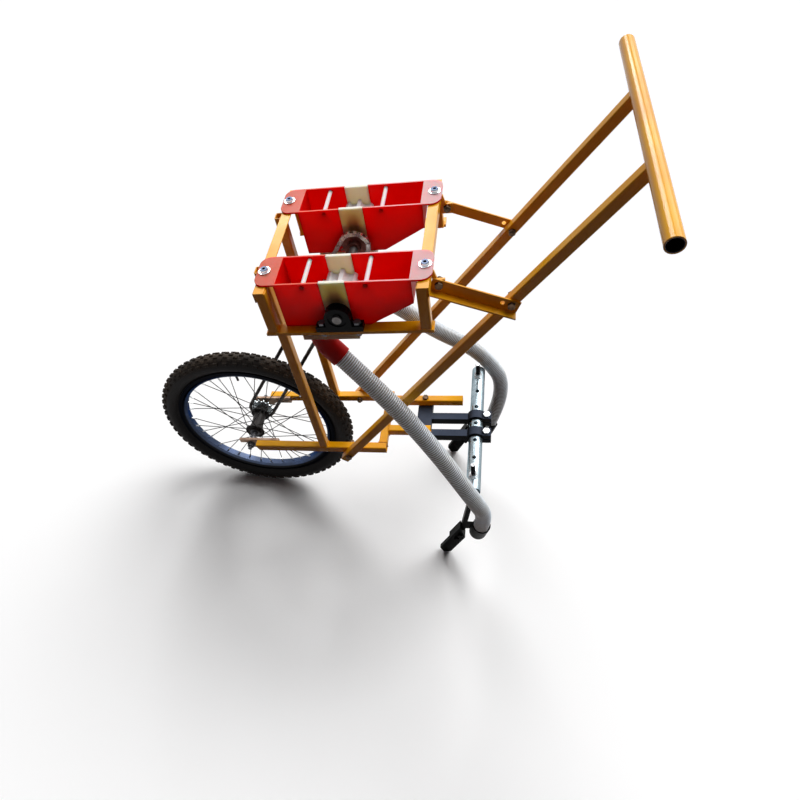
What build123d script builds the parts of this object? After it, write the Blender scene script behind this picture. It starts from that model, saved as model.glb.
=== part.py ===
from build123d import *
import math
import os

os.makedirs("parts", exist_ok=True)

# A walk-behind seed planter: one spoked wheel in front, two hoppers over a chain-driven
# metering shaft, two hoses to two openers on a toolbar, and a T-bar on two handles.
# Everything is drawn with X forward, Y left, Z up from the wheel axle, in millimetres,
# and is then set down on the wheel and the two chisel tips.

# Frame tubing and fasteners
tube = 20.0
tube_wall = 2.0
tube_corner = 3.0
hole_room = 0.25
bolt_radius = 4.0
bolt_flat = 13.0
bolt_head = 5.5
nut_height = 6.5
nut_room = 0.1
thread_spare = 4.0

# Wheel
tyre_radius = 25.5
tyre_seat = 22.5
tyre_wall = 3.5
bead_width = 4.3
bead_inset = 0.2
inner_tube_wall = 1.5
inner_tube_room = 0.2
valve_radius = 3.0
valve_length = 45.0
rim_seat = 203.0
flange_rise = 9.0
rim_depth = 12.0
rim_width = 30.0
rim_base = 16.0
rim_wall = 2.5
spoke_radius = 1.0
spoke_count = 36
spoke_cross = 55.0
spoke_ring = 22.0
spoke_hole_room = 0.15
spoke_out = 5.0
spoke_in = 3.0
spoke_rim_out = 3.0
spoke_rim_in = 1.0
nipple_radius = 2.2
nipple_length = 13.0
nipple_depth = 1.0

# Hub and axle
over_locknut = 135.0
axle_radius = 5.0
axle_over = 6.9
flange_edge = 3.0
flange_thick = 3.0
flange_left = 32.0
flange_right = -26.0
hub_radius = 16.0
hub_left_end = 38.0
hub_right_end = -52.0
hub_bore = 8.0
hub_bearing_radius = 13.0
hub_bearing_width = 8.0
running_room = 0.05
spacer_radius = 7.5
spacer_gap = 0.4
washer_radius = 10.5
washer_thick = 1.6
axle_nut_flat = 15.0
axle_nut_height = 8.0

# Drive chain and sprockets
chain_pitch = 12.7
chain_links = 114
chain_y = -46.0
wheel_teeth = 16
shaft_teeth = 14
roller_radius = 3.9
roller_room = 0.15
pin_radius = 1.75
pin_room = 0.12
link_plate = 1.0
link_height = 8.0
inner_link_half = 1.8
link_gap = 0.2
pin_end = 0.5
sprocket_thick = 2.6
tooth_rise = 3.0
tooth_tip = 1.0
sprocket_hub_radius = 14.0
sprocket_hub_length = 12.0

# Main frame
dropout_thick = 6.0
dropout_front = 28.0
dropout_rear = -80.0
dropout_jaw = 10.0
jaw_drop = 15.0
jaw_rear = -20.0
slot_room = 0.1
rail_rise = 8.0
rail_front = -22.0
rail_rear = -365.0
rail_bevel = 8.0
upright_ahead = 150.4
upright_drop = 12.0
hitch_left_y = 28.0
hitch_right_y = -69.0
hitch_left_rear = -470.0
hitch_right_gap = 35.6

# Hopper frame
post_length = 75.0
bar_thick = 2.0
left_bar_over = 18.0
right_bar_over = 5.0
rear_bar_back = 159.6
shelf_thick = 6.0
shelf_overlap = 6.0
shelf_width = 25.0
shelf_reach = 12.0

# Hoppers
tab_thick = 3.6
front_gap = 14.0
rear_gap = 11.0
hopper_inner = 68.0
hopper_outer = 147.0
hopper_wall = 3.0
step_rise = 47.0
floor_run = 32.6
tab_reach = 14.0
tab_round = 20.0
tie_ahead = 30.9
tie_behind = 36.1
tie_drop = 8.6
tie_radius = 4.0
tie_neck = 2.0
tie_head = 2.0
screw_radius = 4.0
screw_head_radius = 8.0
screw_head_height = 4.5
screw_socket = 6.0
socket_depth = 2.8
screw_washer_radius = 11.0

# Metering shaft, wheels and bearings
shaft_rise = 517.8
shaft_radius = 8.5
shaft_over = 2.5
shaft_room = 1.0
roller_wheel_radius = 42.5
roller_wheel_gap = 3.0
cell_count = 10
cell_radius = 9.5
cell_turn = 6.0
collar_radius = 14.0
collar_gap = 2.0
collar_width = 10.0
block_gap = 0.5
block_width = 18.0
block_rise = 29.8
block_length = 88.0
block_base = 12.0
block_dome = 24.0
block_bolt_half = 33.0
insert_radius = 17.5
insert_width = 14.0

# Metering housings and spouts
housing_width = 47.0
cheek = 6.0
box_inset = 4.0
box_gap = 0.5
box_back = 26.1
box_ahead = 84.4
box_depth = 43.0
box_wall = 6.0
trough_room = 1.5
trough_wall = 3.0
chute_fall = 16.0
outlet_radius = 15.0
spout_radius = 23.0
spout_bore = 16.0
spout_bend = 60.0
spout_straight = 25.0
spout_flange_radius = 29.0
spout_flange = 6.0
spout_slope = 44.0
mouth_ahead = 32.4
mouth_out = 0.5
spout_drop = 83.0
spout_yaw = 21.6

# Hoses and boots: each route runs from its spout, round the toolbar's end, to its boot
hose_radius = 20.0
hose_valley = 18.6
hose_bore = 16.5
hose_pitch = 5.0
rib_flank = 1.0
rib_crest = 2.0
hose_bend_share = 0.45
hose_room = 0.3
hose_start = 18.0
left_hose_first = 148.0
right_hose_first = 118.0
left_hose_route = [(-500.0, 179.0, 145.0), (-584.0, 221.0, 0.0), (-610.0, 186.0, -138.0)]
right_hose_route = [(-471.0, 166.0, 170.0), (-588.0, 211.0, 42.0), (-664.0, 208.0, -115.0)]
boot_seat = (-586.0, 160.0, -256.0)
boot_radius = 23.0
boot_socket = 50.0
boot_spill = 12.0

# Handles and braces
handle_foot = (-259.0, -10.0)
handle_head = (-853.0, 739.0)
handlebar_radius = 13.45
handlebar_wall = 2.6
handlebar_half = 285.0
left_brace_web = 27.0
right_brace_web = 21.0
brace_above = 10.0
brace_flange = 19.0
brace_thick = 3.0
brace_over = 14.0
spare_hole_gap = 17.0
lug_thick = 5.0
lug_length = 22.0
lug_height = 39.0
lug_drop = 8.0
lug_neck = 4.0
lug_slant = 5.0
lug_cover = 9.0
lug_bolt_rise = 12.0
brace_span = 123.5

# Hitch bracket and toolbar
bracket_front = -431.0
bracket_rear = -468.0
bracket_left = 45.0
bracket_right = -82.0
bracket_bolt_x = -450.0
arm_y = 26.0
toolbar_x = -580.6
toolbar_radius = 16.85
toolbar_wall = 3.2
toolbar_half = 190.0
toolbar_hole_radius = 5.25
toolbar_hole_pitch = 52.0
toolbar_holes = 7
clamp_wall = 6.0
clamp_width = 24.0
clamp_room = 0.05
clamp_slit = 4.0
clamp_bolt_out = 3.55
clamp_ear = 15.0
clamp_ear_edge = 11.0
clamp_bolt_radius = 5.0
clamp_bolt_flat = 16.0

# Openers
stud_radius = 5.0
stud_rise = 45.15
stud_flat = 16.0
leg_width = 20.0
leg_depth = 12.0
leg_head = 24.0
leg_head_drop = 21.15
leg_foot = (-545.0, -250.0)
chisel_foot = (-548.0, -240.0)
chisel_slope = 63.4
chisel_width = 34.0
chisel_thick = 10.0
chisel_length = 136.0
chisel_shoulder = 120.0
chisel_heel = 126.0
chisel_top_front = -15.0
chisel_top_rear = 28.0
chisel_bolts = (22.0, 44.0)
foot_length = 58.0
foot_thick = 12.0
gusset_top = -226.0
gusset_bottom = -250.0
gusset_thick = 8.0

# Places that follow from the dimensions above
BASE = (Align.CENTER, Align.CENTER, Align.MIN)
half_tube = tube / 2
rim_flange = rim_seat + flange_rise
rim_inner = rim_seat - rim_depth
tyre_middle = rim_flange + tyre_seat
wheel_radius = tyre_middle + tyre_radius
flange_radius = spoke_ring + flange_edge
dropout_inner = over_locknut / 2
dropout_outer = dropout_inner + dropout_thick
rail_y = dropout_outer + half_tube
rail_top = rail_rise + half_tube
rail_bottom = rail_rise - half_tube
handle_y = rail_y + tube
toolbar_rise = rail_bottom - half_tube
hitch_right_rear = toolbar_x + hitch_right_gap
pipe_top = toolbar_rise + toolbar_radius
stud_top = pipe_top + stud_rise
leg_head_bottom = toolbar_rise - toolbar_radius - leg_head_drop
clamp_bolt_x = toolbar_x - toolbar_radius - clamp_wall - clamp_bolt_out
clamp_ear_rear = clamp_bolt_x - clamp_ear_edge
stud_y = toolbar_hole_pitch * (toolbar_holes // 2)

# Across the planter, from the hoppers outwards
hopper_middle = (hopper_inner + hopper_outer) / 2
roller_wheel_inner = hopper_inner + cheek + roller_wheel_gap
roller_wheel_outer = hopper_outer - cheek - roller_wheel_gap
trough_inner = roller_wheel_inner - trough_room / 2
trough_outer = roller_wheel_outer + trough_room / 2
trough_radius = roller_wheel_radius + trough_room
collar_inner = hopper_inner - collar_gap - collar_width
block_inner = hopper_outer + block_gap
block_outer = block_inner + block_width
shaft_half = block_outer + shaft_over
shelf_inner = hopper_outer - shelf_overlap
bar_left = hopper_outer + left_bar_over
bar_right = -hopper_outer - right_bar_over
box_inner = hopper_inner + box_inset
box_outer = shelf_inner - box_gap
mouth_y = hopper_middle + mouth_out

# Upwards from the metering shaft
shelf_top = shaft_rise - block_rise
bar_top = shelf_top + post_length + tube
bar_flange = bar_top - bar_thick
bar_bottom = bar_top - tube
upright_top = bar_top - upright_drop
rim_height = bar_top + tab_thick
tie_height = rim_height - tie_drop
hopper_step = shelf_top + step_rise
lug_top = bar_top - lug_drop
lug_bottom = lug_top - lug_height
box_bottom = shelf_top - box_depth
mouth_rise = box_bottom - spout_drop

# The shaft stands where the closed chain fits both sprockets without slack.
wheel_pitch_radius = wheel_teeth * chain_pitch / (2 * math.pi)
shaft_pitch_radius = shaft_teeth * chain_pitch / (2 * math.pi)
pitch_step = wheel_pitch_radius - shaft_pitch_radius
chain_lean = 0.0
for _ in range(5):
    wheel_wrap = wheel_pitch_radius * (math.pi + 2 * chain_lean)
    shaft_wrap = shaft_pitch_radius * (math.pi - 2 * chain_lean)
    chain_run = (chain_links * chain_pitch - wheel_wrap - shaft_wrap) / 2
    shaft_distance = math.hypot(chain_run, pitch_step)
    chain_lean = math.asin(pitch_step / shaft_distance)
shaft_x = -math.sqrt(shaft_distance**2 - shaft_rise**2)
housing_front = shaft_x + housing_width / 2
housing_rear = shaft_x - housing_width / 2

# Along the planter, from the metering shaft to both ends of the hopper frame
upright_x = shaft_x + upright_ahead
front_bar_x = upright_x - tube
rear_bar_x = shaft_x - rear_bar_back
shelf_front = front_bar_x + shelf_reach
shelf_rear = rear_bar_x - shelf_reach
hopper_front = front_bar_x - half_tube - front_gap
hopper_rear = rear_bar_x + half_tube + rear_gap
hopper_foot = housing_rear - floor_run
tab_front = front_bar_x + tab_reach
tab_rear = rear_bar_x - tab_reach
tie_x = (housing_front + tie_ahead, housing_rear - tie_behind)
box_rear = shaft_x - box_back
box_front = shaft_x + box_ahead
mouth_x = shaft_x + mouth_ahead
lug_front = rear_bar_x - half_tube
lug_bolt = (lug_front - lug_length / 2, lug_bottom + lug_bolt_rise)
brace_bolt_x = lug_bolt[0] - brace_span

# The chisel's axis, and the tip corner that it stands on
chisel_down = Vector(math.cos(math.radians(chisel_slope)), 0, -math.sin(math.radians(chisel_slope)))
chisel_across = Vector(-chisel_down.Z, 0, chisel_down.X)


def on_chisel(along, across):
    point = Vector(chisel_foot[0], 0, chisel_foot[1]) + chisel_down * along + chisel_across * across
    return (point.X, point.Z)


tip_x, tip_z = on_chisel(chisel_length, 0)
tip_reach = math.hypot(tip_x, tip_z)
stance_angle = math.acos(wheel_radius / tip_reach) - math.atan2(-tip_x, -tip_z)
bar_back = handle_head[0] * math.cos(stance_angle) + handle_head[1] * math.sin(stance_angle)
stance_shift = (handlebar_radius - bar_back - wheel_radius) / 2
stance = Location((stance_shift, 0, wheel_radius), (0, math.degrees(stance_angle), 0))


def save(node, *pieces):
    placed = [stance * piece for piece in pieces]
    export_step(placed[0] if len(placed) == 1 else Compound(children=placed), f"parts/{node}.step")


def both_sides(piece):
    return [piece, mirror(piece, about=Plane.XZ)]


def rod(start, end, radius):
    run = Vector(*end) - Vector(*start)
    return Plane(origin=start, z_dir=run) * Cylinder(radius, run.length, align=BASE)


def square_tube(start, end, across):
    run = Vector(*end) - Vector(*start)
    inside = tube - 2 * tube_wall
    section = RectangleRounded(tube, tube, tube_corner) - Rectangle(inside, inside)
    return extrude(Plane(origin=start, x_dir=across, z_dir=run) * section, amount=run.length)


def block(x, y, z):
    return Pos((x[0] + x[1]) / 2, (y[0] + y[1]) / 2, (z[0] + z[1]) / 2) * Box(
        abs(x[1] - x[0]), abs(y[1] - y[0]), abs(z[1] - z[0])
    )


def side_plate(face, near, far):
    return extrude(Plane.XZ.offset(-max(near, far)) * face, amount=abs(far - near), dir=(0, -1, 0))


def outline(*points):
    """A closed outline with its points put in anticlockwise order."""
    area = sum(a[0] * b[1] - a[1] * b[0] for a, b in zip(points, points[1:] + points[:1]))
    return Polygon(*(points if area > 0 else reversed(points)), align=None)


def cross_rod(x, z, y_from, y_to, radius):
    return rod((x, y_from, z), (x, y_to, z), radius)


def upright_rod(x, y, z_from, z_to, radius):
    return rod((x, y, z_from), (x, y, z_to), radius)


def hexagon(start, way, flat, height):
    outer = RegularPolygon(flat / math.sqrt(3), 6)
    return extrude(Plane(origin=start, z_dir=way) * outer, amount=height)


def bolt(head_face, nut_face, radius, flat):
    """A hexagon bolt from its head's seat to its nut's seat, with the nut as a solid of its own."""
    start, end = Vector(*head_face), Vector(*nut_face)
    way = (end - start).normalized()
    shank = rod(start, end + way * (nut_height + thread_spare), radius)
    head = hexagon(start, way * -1, flat, bolt_head)
    nut = hexagon(end, way, flat, nut_height) - rod(end, end + way * nut_height, radius + nut_room)
    return [head + shank, nut]


def hollow(x, z, y_from, y_to, outer, inner):
    return cross_rod(x, z, y_from, y_to, outer) - cross_rod(x, z, y_from, y_to, inner)


# Main rails, bevelled at the front, with one bolt hole each for the handles
handle_run = Vector(handle_head[0] - handle_foot[0], 0, handle_head[1] - handle_foot[1])


def on_handle(height=None, x=None):
    if x is None:
        share = (height - handle_foot[1]) / handle_run.Z
    else:
        share = (x - handle_foot[0]) / handle_run.X
    return (handle_foot[0] + share * handle_run.X, handle_foot[1] + share * handle_run.Z)


rail_bolt = on_handle(height=rail_rise)
bolt_hole = bolt_radius + hole_room
rail_hole = cross_rod(*rail_bolt, rail_y - tube, handle_y + tube, bolt_hole)
rail = square_tube((rail_front, rail_y, rail_rise), (rail_rear, rail_y, rail_rise), (0, 1, 0))
bevel = outline((rail_front, rail_bottom), (rail_front - rail_bevel, rail_bottom), (rail_front, rail_top))
rail = rail - side_plate(bevel, rail_y - half_tube, rail_y + half_tube) - rail_hole
for node, piece in zip(("left_rail", "right_rail"), both_sides(rail)):
    save(node, piece)

# Dropout plates on the rails' inner faces, with a slot open to the front
slot_half = axle_radius + slot_room
dropout_face = outline(
    (dropout_rear, rail_top),
    (dropout_front, rail_top),
    (dropout_front, slot_half),
    (dropout_jaw, slot_half),
    (dropout_jaw, -slot_half),
    (dropout_jaw, -jaw_drop),
    (jaw_rear, -jaw_drop),
    (jaw_rear - jaw_drop, rail_bottom),
    (dropout_rear, rail_bottom),
)
slot_face = Circle(slot_half) + outline(
    (0, -slot_half), (dropout_front, -slot_half), (dropout_front, slot_half), (0, slot_half)
)
save("axle_dropouts", *both_sides(side_plate(dropout_face - slot_face, dropout_inner, dropout_outer)))

# Rear crossmember between the rails and the two hitch tubes behind it
crossmember_x = rail_rear + half_tube
cross_half = rail_y - half_tube
save(
    "rear_crossmember",
    square_tube((crossmember_x, -cross_half, rail_rise), (crossmember_x, cross_half, rail_rise), (1, 0, 0)),
)
for node, y, rear in (
    ("left_hitch_tube", hitch_left_y, hitch_left_rear),
    ("right_hitch_tube", hitch_right_y, hitch_right_rear),
):
    hitch = square_tube((rail_rear, y, rail_rise), (rear, y, rail_rise), (0, 1, 0))
    save(node, hitch - upright_rod(bracket_bolt_x, y, rail_bottom, rail_top, bolt_hole))

# Uprights from the rails to the hopper frame
upright = square_tube((upright_x, rail_y, rail_top), (upright_x, rail_y, upright_top), (1, 0, 0))
for node, piece in zip(("left_upright", "right_upright"), both_sides(upright)):
    save(node, piece)

# Top bars of steel angle that carry the hopper tabs, with their upright legs on the outside
screw_hole = screw_radius + hole_room
for node, x, outward in (("front_top_bar", front_bar_x, 1), ("rear_top_bar", rear_bar_x, -1)):
    leg_face = x + outward * half_tube
    top_bar = block((x - half_tube, x + half_tube), (bar_right, bar_left), (bar_flange, bar_top))
    top_bar += block((leg_face - outward * bar_thick, leg_face), (bar_right, bar_left), (bar_bottom, bar_top))
    for y in (hopper_middle, -hopper_middle):
        top_bar -= upright_rod(x, y, bar_flange, bar_top, screw_hole)
    save(node, top_bar)

# Four short posts inside the top bars' angles, down to the shelf bars
posts = [
    square_tube((x, y, shelf_top), (x, y, bar_flange), (1, 0, 0))
    for x in (front_bar_x - bar_thick, rear_bar_x + bar_thick)
    for y in (bar_left - half_tube, bar_right + half_tube)
]
save("hopper_posts", *posts)

# Flat shelf bars that carry the bearings and the outer edge of the hoppers
shelf_bottom = shelf_top - shelf_thick
shelf_outer = shelf_inner + shelf_width
shelf = block((shelf_rear, shelf_front), (shelf_inner, shelf_outer), (shelf_bottom, shelf_top))
block_middle = (block_inner + block_outer) / 2
for x in (shaft_x - block_bolt_half, shaft_x + block_bolt_half):
    shelf -= upright_rod(x, block_middle, shelf_bottom, shelf_top, bolt_hole)
for node, piece in zip(("left_shelf_bar", "right_shelf_bar"), both_sides(shelf)):
    save(node, piece)

# Handles, bolted to the rails' outer faces and cut to sit under the T-bar
brace_bolt = on_handle(x=brace_bolt_x)
handle_outer = handle_y + half_tube
handle = square_tube(
    (handle_foot[0], handle_y, handle_foot[1]), (handle_head[0], handle_y, handle_head[1]), (0, 1, 0)
)
handle -= cross_rod(*handle_head, handle_y - tube, handle_y + tube, handlebar_radius)
handle -= rail_hole
handle -= cross_rod(*brace_bolt, handle_y - tube, handle_y + tube, bolt_hole)
for node, piece in zip(("left_handle", "right_handle"), both_sides(handle)):
    save(node, piece)
handlebar_bore = handlebar_radius - handlebar_wall
save("handlebar", hollow(*handle_head, -handlebar_half, handlebar_half, handlebar_radius, handlebar_bore))

# Angle braces from lugs on the rear top bar to the handles
brace_run = Vector(brace_bolt[0] - lug_bolt[0], 0, brace_bolt[1] - lug_bolt[1])
brace_way = brace_run.normalized()
brace_start = Vector(lug_bolt[0], handle_outer, lug_bolt[1]) - brace_way * brace_over
brace_plane = Plane(origin=brace_start, x_dir=(0, 1, 0), z_dir=brace_way)
spare_hole = (brace_bolt[0] - brace_way.X * spare_hole_gap, brace_bolt[1] - brace_way.Z * spare_hole_gap)
for side, (node, web) in enumerate((("left_brace", left_brace_web), ("right_brace", right_brace_web))):
    brace_below = web - brace_above
    brace_section = outline(
        (0, -brace_above),
        (brace_thick, -brace_above),
        (brace_thick, brace_below - brace_thick),
        (brace_flange, brace_below - brace_thick),
        (brace_flange, brace_below),
        (0, brace_below),
    )
    brace = extrude(brace_plane * brace_section, amount=brace_run.length + 2 * brace_over, dir=brace_way)
    for place in (lug_bolt, brace_bolt, spare_hole):
        brace -= cross_rod(*place, handle_y, handle_outer + tube, bolt_hole)
    save(node, both_sides(brace)[side])
lug_shoulder = lug_bolt[1] + lug_cover
lug_face = outline(
    (lug_front, lug_top),
    (lug_front - lug_neck, lug_top),
    (lug_front - lug_neck - lug_slant, lug_shoulder),
    (lug_front - lug_length, lug_shoulder),
    (lug_front - lug_length, lug_bottom),
    (lug_front, lug_bottom),
)
lug = side_plate(lug_face, handle_outer - lug_thick, handle_outer)
save("brace_lugs", *both_sides(lug - cross_rod(*lug_bolt, handle_y, handle_outer + tube, bolt_hole)))

# Frame bolts: handle to rail, brace to handle and lug, bracket to hitch tubes
brace_face = handle_outer + brace_thick
frame_bolts = []
for x, z, outer, inner in (
    (*rail_bolt, handle_outer, rail_y - half_tube),
    (*brace_bolt, brace_face, handle_y - half_tube),
    (*lug_bolt, brace_face, handle_outer - lug_thick),
):
    for piece in bolt((x, outer, z), (x, inner, z), bolt_radius, bolt_flat):
        frame_bolts += both_sides(piece)
for y in (hitch_left_y, hitch_right_y):
    frame_bolts += bolt(
        (bracket_bolt_x, y, rail_top), (bracket_bolt_x, y, rail_bottom - tube), bolt_radius, bolt_flat
    )
save("frame_bolts", *frame_bolts)

# Tyre, inner tube and rim, turned about the axle
bead_outer = rim_width / 2 - rim_wall - bead_inset
bead_inner = bead_outer - bead_width
tyre_ring = Pos(tyre_middle, 0) * (Circle(tyre_radius) - Circle(tyre_radius - tyre_wall))
bead_top = rim_flange + bead_width
mouth = outline(
    (rim_inner, -tyre_radius), (rim_flange + bead_inset, -tyre_radius),
    (rim_flange + bead_inset, -bead_inner), (bead_top, -bead_inner), (bead_top, bead_inner),
    (rim_flange + bead_inset, bead_inner), (rim_flange + bead_inset, tyre_radius), (rim_inner, tyre_radius),
)
beads = outline(
    (rim_seat + bead_inset, bead_inner), (bead_top, bead_inner),
    (bead_top, bead_outer), (rim_seat + bead_inset, bead_outer),
)
beads = beads - Pos(tyre_middle, 0) * Circle(tyre_radius - tyre_wall)
tyre_face = tyre_ring - mouth + beads + mirror(beads, about=Plane.XZ)
save("tyre", revolve(tyre_face, Axis.Y))

air_radius = tyre_radius - tyre_wall - inner_tube_room
air_face = Pos(tyre_middle, 0) * (Circle(air_radius) - Circle(air_radius - inner_tube_wall))
valve_top = tyre_middle - air_radius + inner_tube_wall / 2
valve = rod((0, 0, valve_top), (0, 0, valve_top - valve_length), valve_radius)
save("inner_tube", revolve(air_face, Axis.Y) + valve)

rim_half = rim_width / 2
rim_face = outline(
    (rim_inner, -rim_base / 2), (rim_seat, -rim_half), (rim_flange, -rim_half),
    (rim_flange, rim_wall - rim_half), (rim_seat, rim_wall - rim_half),
    (rim_seat, rim_half - rim_wall), (rim_flange, rim_half - rim_wall),
    (rim_flange, rim_half), (rim_seat, rim_half), (rim_inner, rim_base / 2),
)
rim_hollow = outline(
    (rim_inner + rim_wall, -rim_base / 2 + rim_wall), (rim_seat - rim_wall, rim_wall * 2 - rim_half),
    (rim_seat - rim_wall, rim_half - rim_wall * 2), (rim_inner + rim_wall, rim_base / 2 - rim_wall),
)
rim = revolve(rim_face - rim_hollow, Axis.Y)
rim -= rod((0, 0, rim_inner - rim_wall), (0, 0, rim_flange), valve_radius + hole_room)


def at_wheel(radius, degrees, y):
    angle = math.radians(degrees)
    return (radius * math.sin(angle), y, radius * math.cos(angle))


# Spokes in two crossing sets on each flange, each with a bent end through its flange
spokes = []
nipples = []
flange_holes = []
spoke_step = 360 / spoke_count
for flange, turn, side in ((flange_left, 0, 1), (flange_right, 2 * spoke_step, -1)):
    for leading, lie, rim_lie in ((1, spoke_out, spoke_rim_out), (-1, -spoke_in, spoke_rim_in)):
        for step in range(spoke_count // 4):
            start = turn + 4 * spoke_step * step + (0 if leading > 0 else 2 * spoke_step)
            hub_end = at_wheel(spoke_ring, start, flange + side * lie)
            hub_far = at_wheel(spoke_ring, start, flange - side * math.copysign(spoke_in, lie))
            rim_end = at_wheel(rim_inner, start + leading * spoke_cross, side * rim_lie)
            way = (Vector(*rim_end) - Vector(*hub_end)).normalized()
            nipple_start = Vector(*rim_end) - way * nipple_length
            nipple_end = Vector(*rim_end) + way * nipple_depth
            spoke = rod(hub_end, nipple_end, spoke_radius) + rod(hub_end, hub_far, spoke_radius)
            spokes.append(spoke + Pos(*hub_end) * Sphere(spoke_radius))
            nipple = rod(nipple_start, nipple_end, nipple_radius)
            nipples.append(nipple - rod(nipple_start, nipple_end, spoke_radius))
            rim -= rod(nipple_start, nipple_end + way * nipple_depth, nipple_radius)
            flange_holes.append(rod(hub_end, hub_far, spoke_radius + spoke_hole_room))
save("rim", rim)
save("spokes", *spokes)
save("spoke_nipples", *nipples)

# Hub shell with two spoke flanges and bearing pockets
hub = cross_rod(0, 0, hub_right_end, hub_left_end, hub_radius)
for flange in (flange_left, flange_right):
    hub += cross_rod(0, 0, flange - flange_thick / 2, flange + flange_thick / 2, flange_radius)
hub -= cross_rod(0, 0, hub_right_end, hub_left_end, hub_bore)
pocket_left = hub_left_end - hub_bearing_width
pocket_right = hub_right_end + hub_bearing_width
hub -= cross_rod(0, 0, pocket_left, hub_left_end, hub_bearing_radius)
hub -= cross_rod(0, 0, hub_right_end, pocket_right, hub_bearing_radius)
for hole in flange_holes:
    hub -= hole
save("hub_shell", hub)
axle_bore = axle_radius + running_room
save(
    "hub_bearings",
    hollow(0, 0, pocket_left, hub_left_end, hub_bearing_radius, axle_bore),
    hollow(0, 0, hub_right_end, pocket_right, hub_bearing_radius, axle_bore),
)

# Fixed axle with spacers inside the dropouts, and washers and nuts outside them
washer_face = dropout_outer + washer_thick
axle_end = washer_face + axle_nut_height + axle_over
save("axle", cross_rod(0, 0, -axle_end, axle_end, axle_radius))
axle_nuts = [
    hollow(0, 0, hub_left_end + spacer_gap, dropout_inner, spacer_radius, axle_radius),
    hollow(0, 0, -dropout_inner, hub_right_end - spacer_gap, spacer_radius, axle_radius),
]
axle_nuts += both_sides(hollow(0, 0, dropout_outer, washer_face, washer_radius, axle_radius))
axle_nut = hexagon((0, washer_face, 0), (0, 1, 0), axle_nut_flat, axle_nut_height)
axle_nut -= cross_rod(0, 0, washer_face, washer_face + axle_nut_height, axle_radius)
axle_nuts += both_sides(axle_nut)
save("axle_nuts", *axle_nuts)

# Chain loop: up the front run, over the shaft sprocket, down the rear run, round the hub
axle_to_shaft = math.atan2(shaft_rise, shaft_x)
front_angle = axle_to_shaft - math.pi / 2 + chain_lean
shaft_arc = math.pi - 2 * chain_lean


def chain_point(length):
    """The point on the chain's pitch line at a length from the front tangent on the hub sprocket."""
    length = length % (chain_links * chain_pitch)
    if length < chain_run:
        start_x = wheel_pitch_radius * math.cos(front_angle)
        start_z = wheel_pitch_radius * math.sin(front_angle)
        along = front_angle + math.pi / 2
        return (start_x + length * math.cos(along), start_z + length * math.sin(along))
    length -= chain_run
    if length < shaft_wrap:
        angle = front_angle + length / shaft_pitch_radius
        return (
            shaft_x + shaft_pitch_radius * math.cos(angle),
            shaft_rise + shaft_pitch_radius * math.sin(angle),
        )
    length -= shaft_wrap
    angle = front_angle + shaft_arc
    if length < chain_run:
        along = angle + math.pi / 2
        return (
            shaft_x + shaft_pitch_radius * math.cos(angle) + length * math.cos(along),
            shaft_rise + shaft_pitch_radius * math.sin(angle) + length * math.sin(along),
        )
    angle += (length - chain_run) / wheel_pitch_radius
    return (wheel_pitch_radius * math.cos(angle), wheel_pitch_radius * math.sin(angle))


outer_link_half = inner_link_half + link_plate + link_gap
pin_half = outer_link_half + link_plate + pin_end


def link(inner):
    """One chain link along X about its middle, with its rollers or its pins."""
    half = inner_link_half if inner else outer_link_half
    face = SlotCenterToCenter(chain_pitch, link_height)
    plate = side_plate(face, half, half + link_plate)
    made = plate + mirror(plate, about=Plane.XZ)
    for x in (-chain_pitch / 2, chain_pitch / 2):
        if inner:
            made += cross_rod(x, 0, -half, half, roller_radius)
        else:
            made += cross_rod(x, 0, -pin_half, pin_half, pin_radius)
    if inner:
        for x in (-chain_pitch / 2, chain_pitch / 2):
            made -= cross_rod(x, 0, -half - link_plate, half + link_plate, pin_radius + pin_room)
    return made


kinds = (link(True), link(False))
links = []
for index in range(chain_links):
    ahead = chain_point((index + 1) * chain_pitch)
    behind = chain_point(index * chain_pitch)
    lean = -math.degrees(math.atan2(ahead[1] - behind[1], ahead[0] - behind[0]))
    middle = ((ahead[0] + behind[0]) / 2, chain_y, (ahead[1] + behind[1]) / 2)
    links.append(Location(middle, (0, lean, 0)) * kinds[index % 2])
save("drive_chain", *links)


def sprocket(teeth, pitch_radius, middle, first):
    """A sprocket plate about a point in XZ with one tooth gap at the angle first."""
    root = pitch_radius - roller_radius - roller_room
    half_pitch = chain_pitch / 2
    flank = half_pitch - roller_radius - roller_room
    tooth = outline(
        (0, half_pitch), (root, half_pitch), (pitch_radius, flank),
        (pitch_radius + tooth_rise, tooth_tip), (pitch_radius + tooth_rise, -tooth_tip),
        (pitch_radius, -flank), (root, -half_pitch), (0, -half_pitch),
    )
    face = Circle(root)
    step = 360 / teeth
    for index in range(teeth):
        face += Rot(0, 0, math.degrees(first) + step * (index + 1 / 2)) * tooth
    gaps = PolarLocations(pitch_radius, teeth, start_angle=math.degrees(first))
    face -= [place * Circle(roller_radius + roller_room) for place in gaps]
    half = sprocket_thick / 2
    return side_plate(Pos(*middle) * face, chain_y - half, chain_y + half)


def first_gap(start_length, start_angle, pitch_radius):
    """The angle of the first roller that lies on a sprocket whose wrap starts at a length."""
    ahead = math.ceil(start_length / chain_pitch) * chain_pitch - start_length
    return start_angle + ahead / pitch_radius


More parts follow.
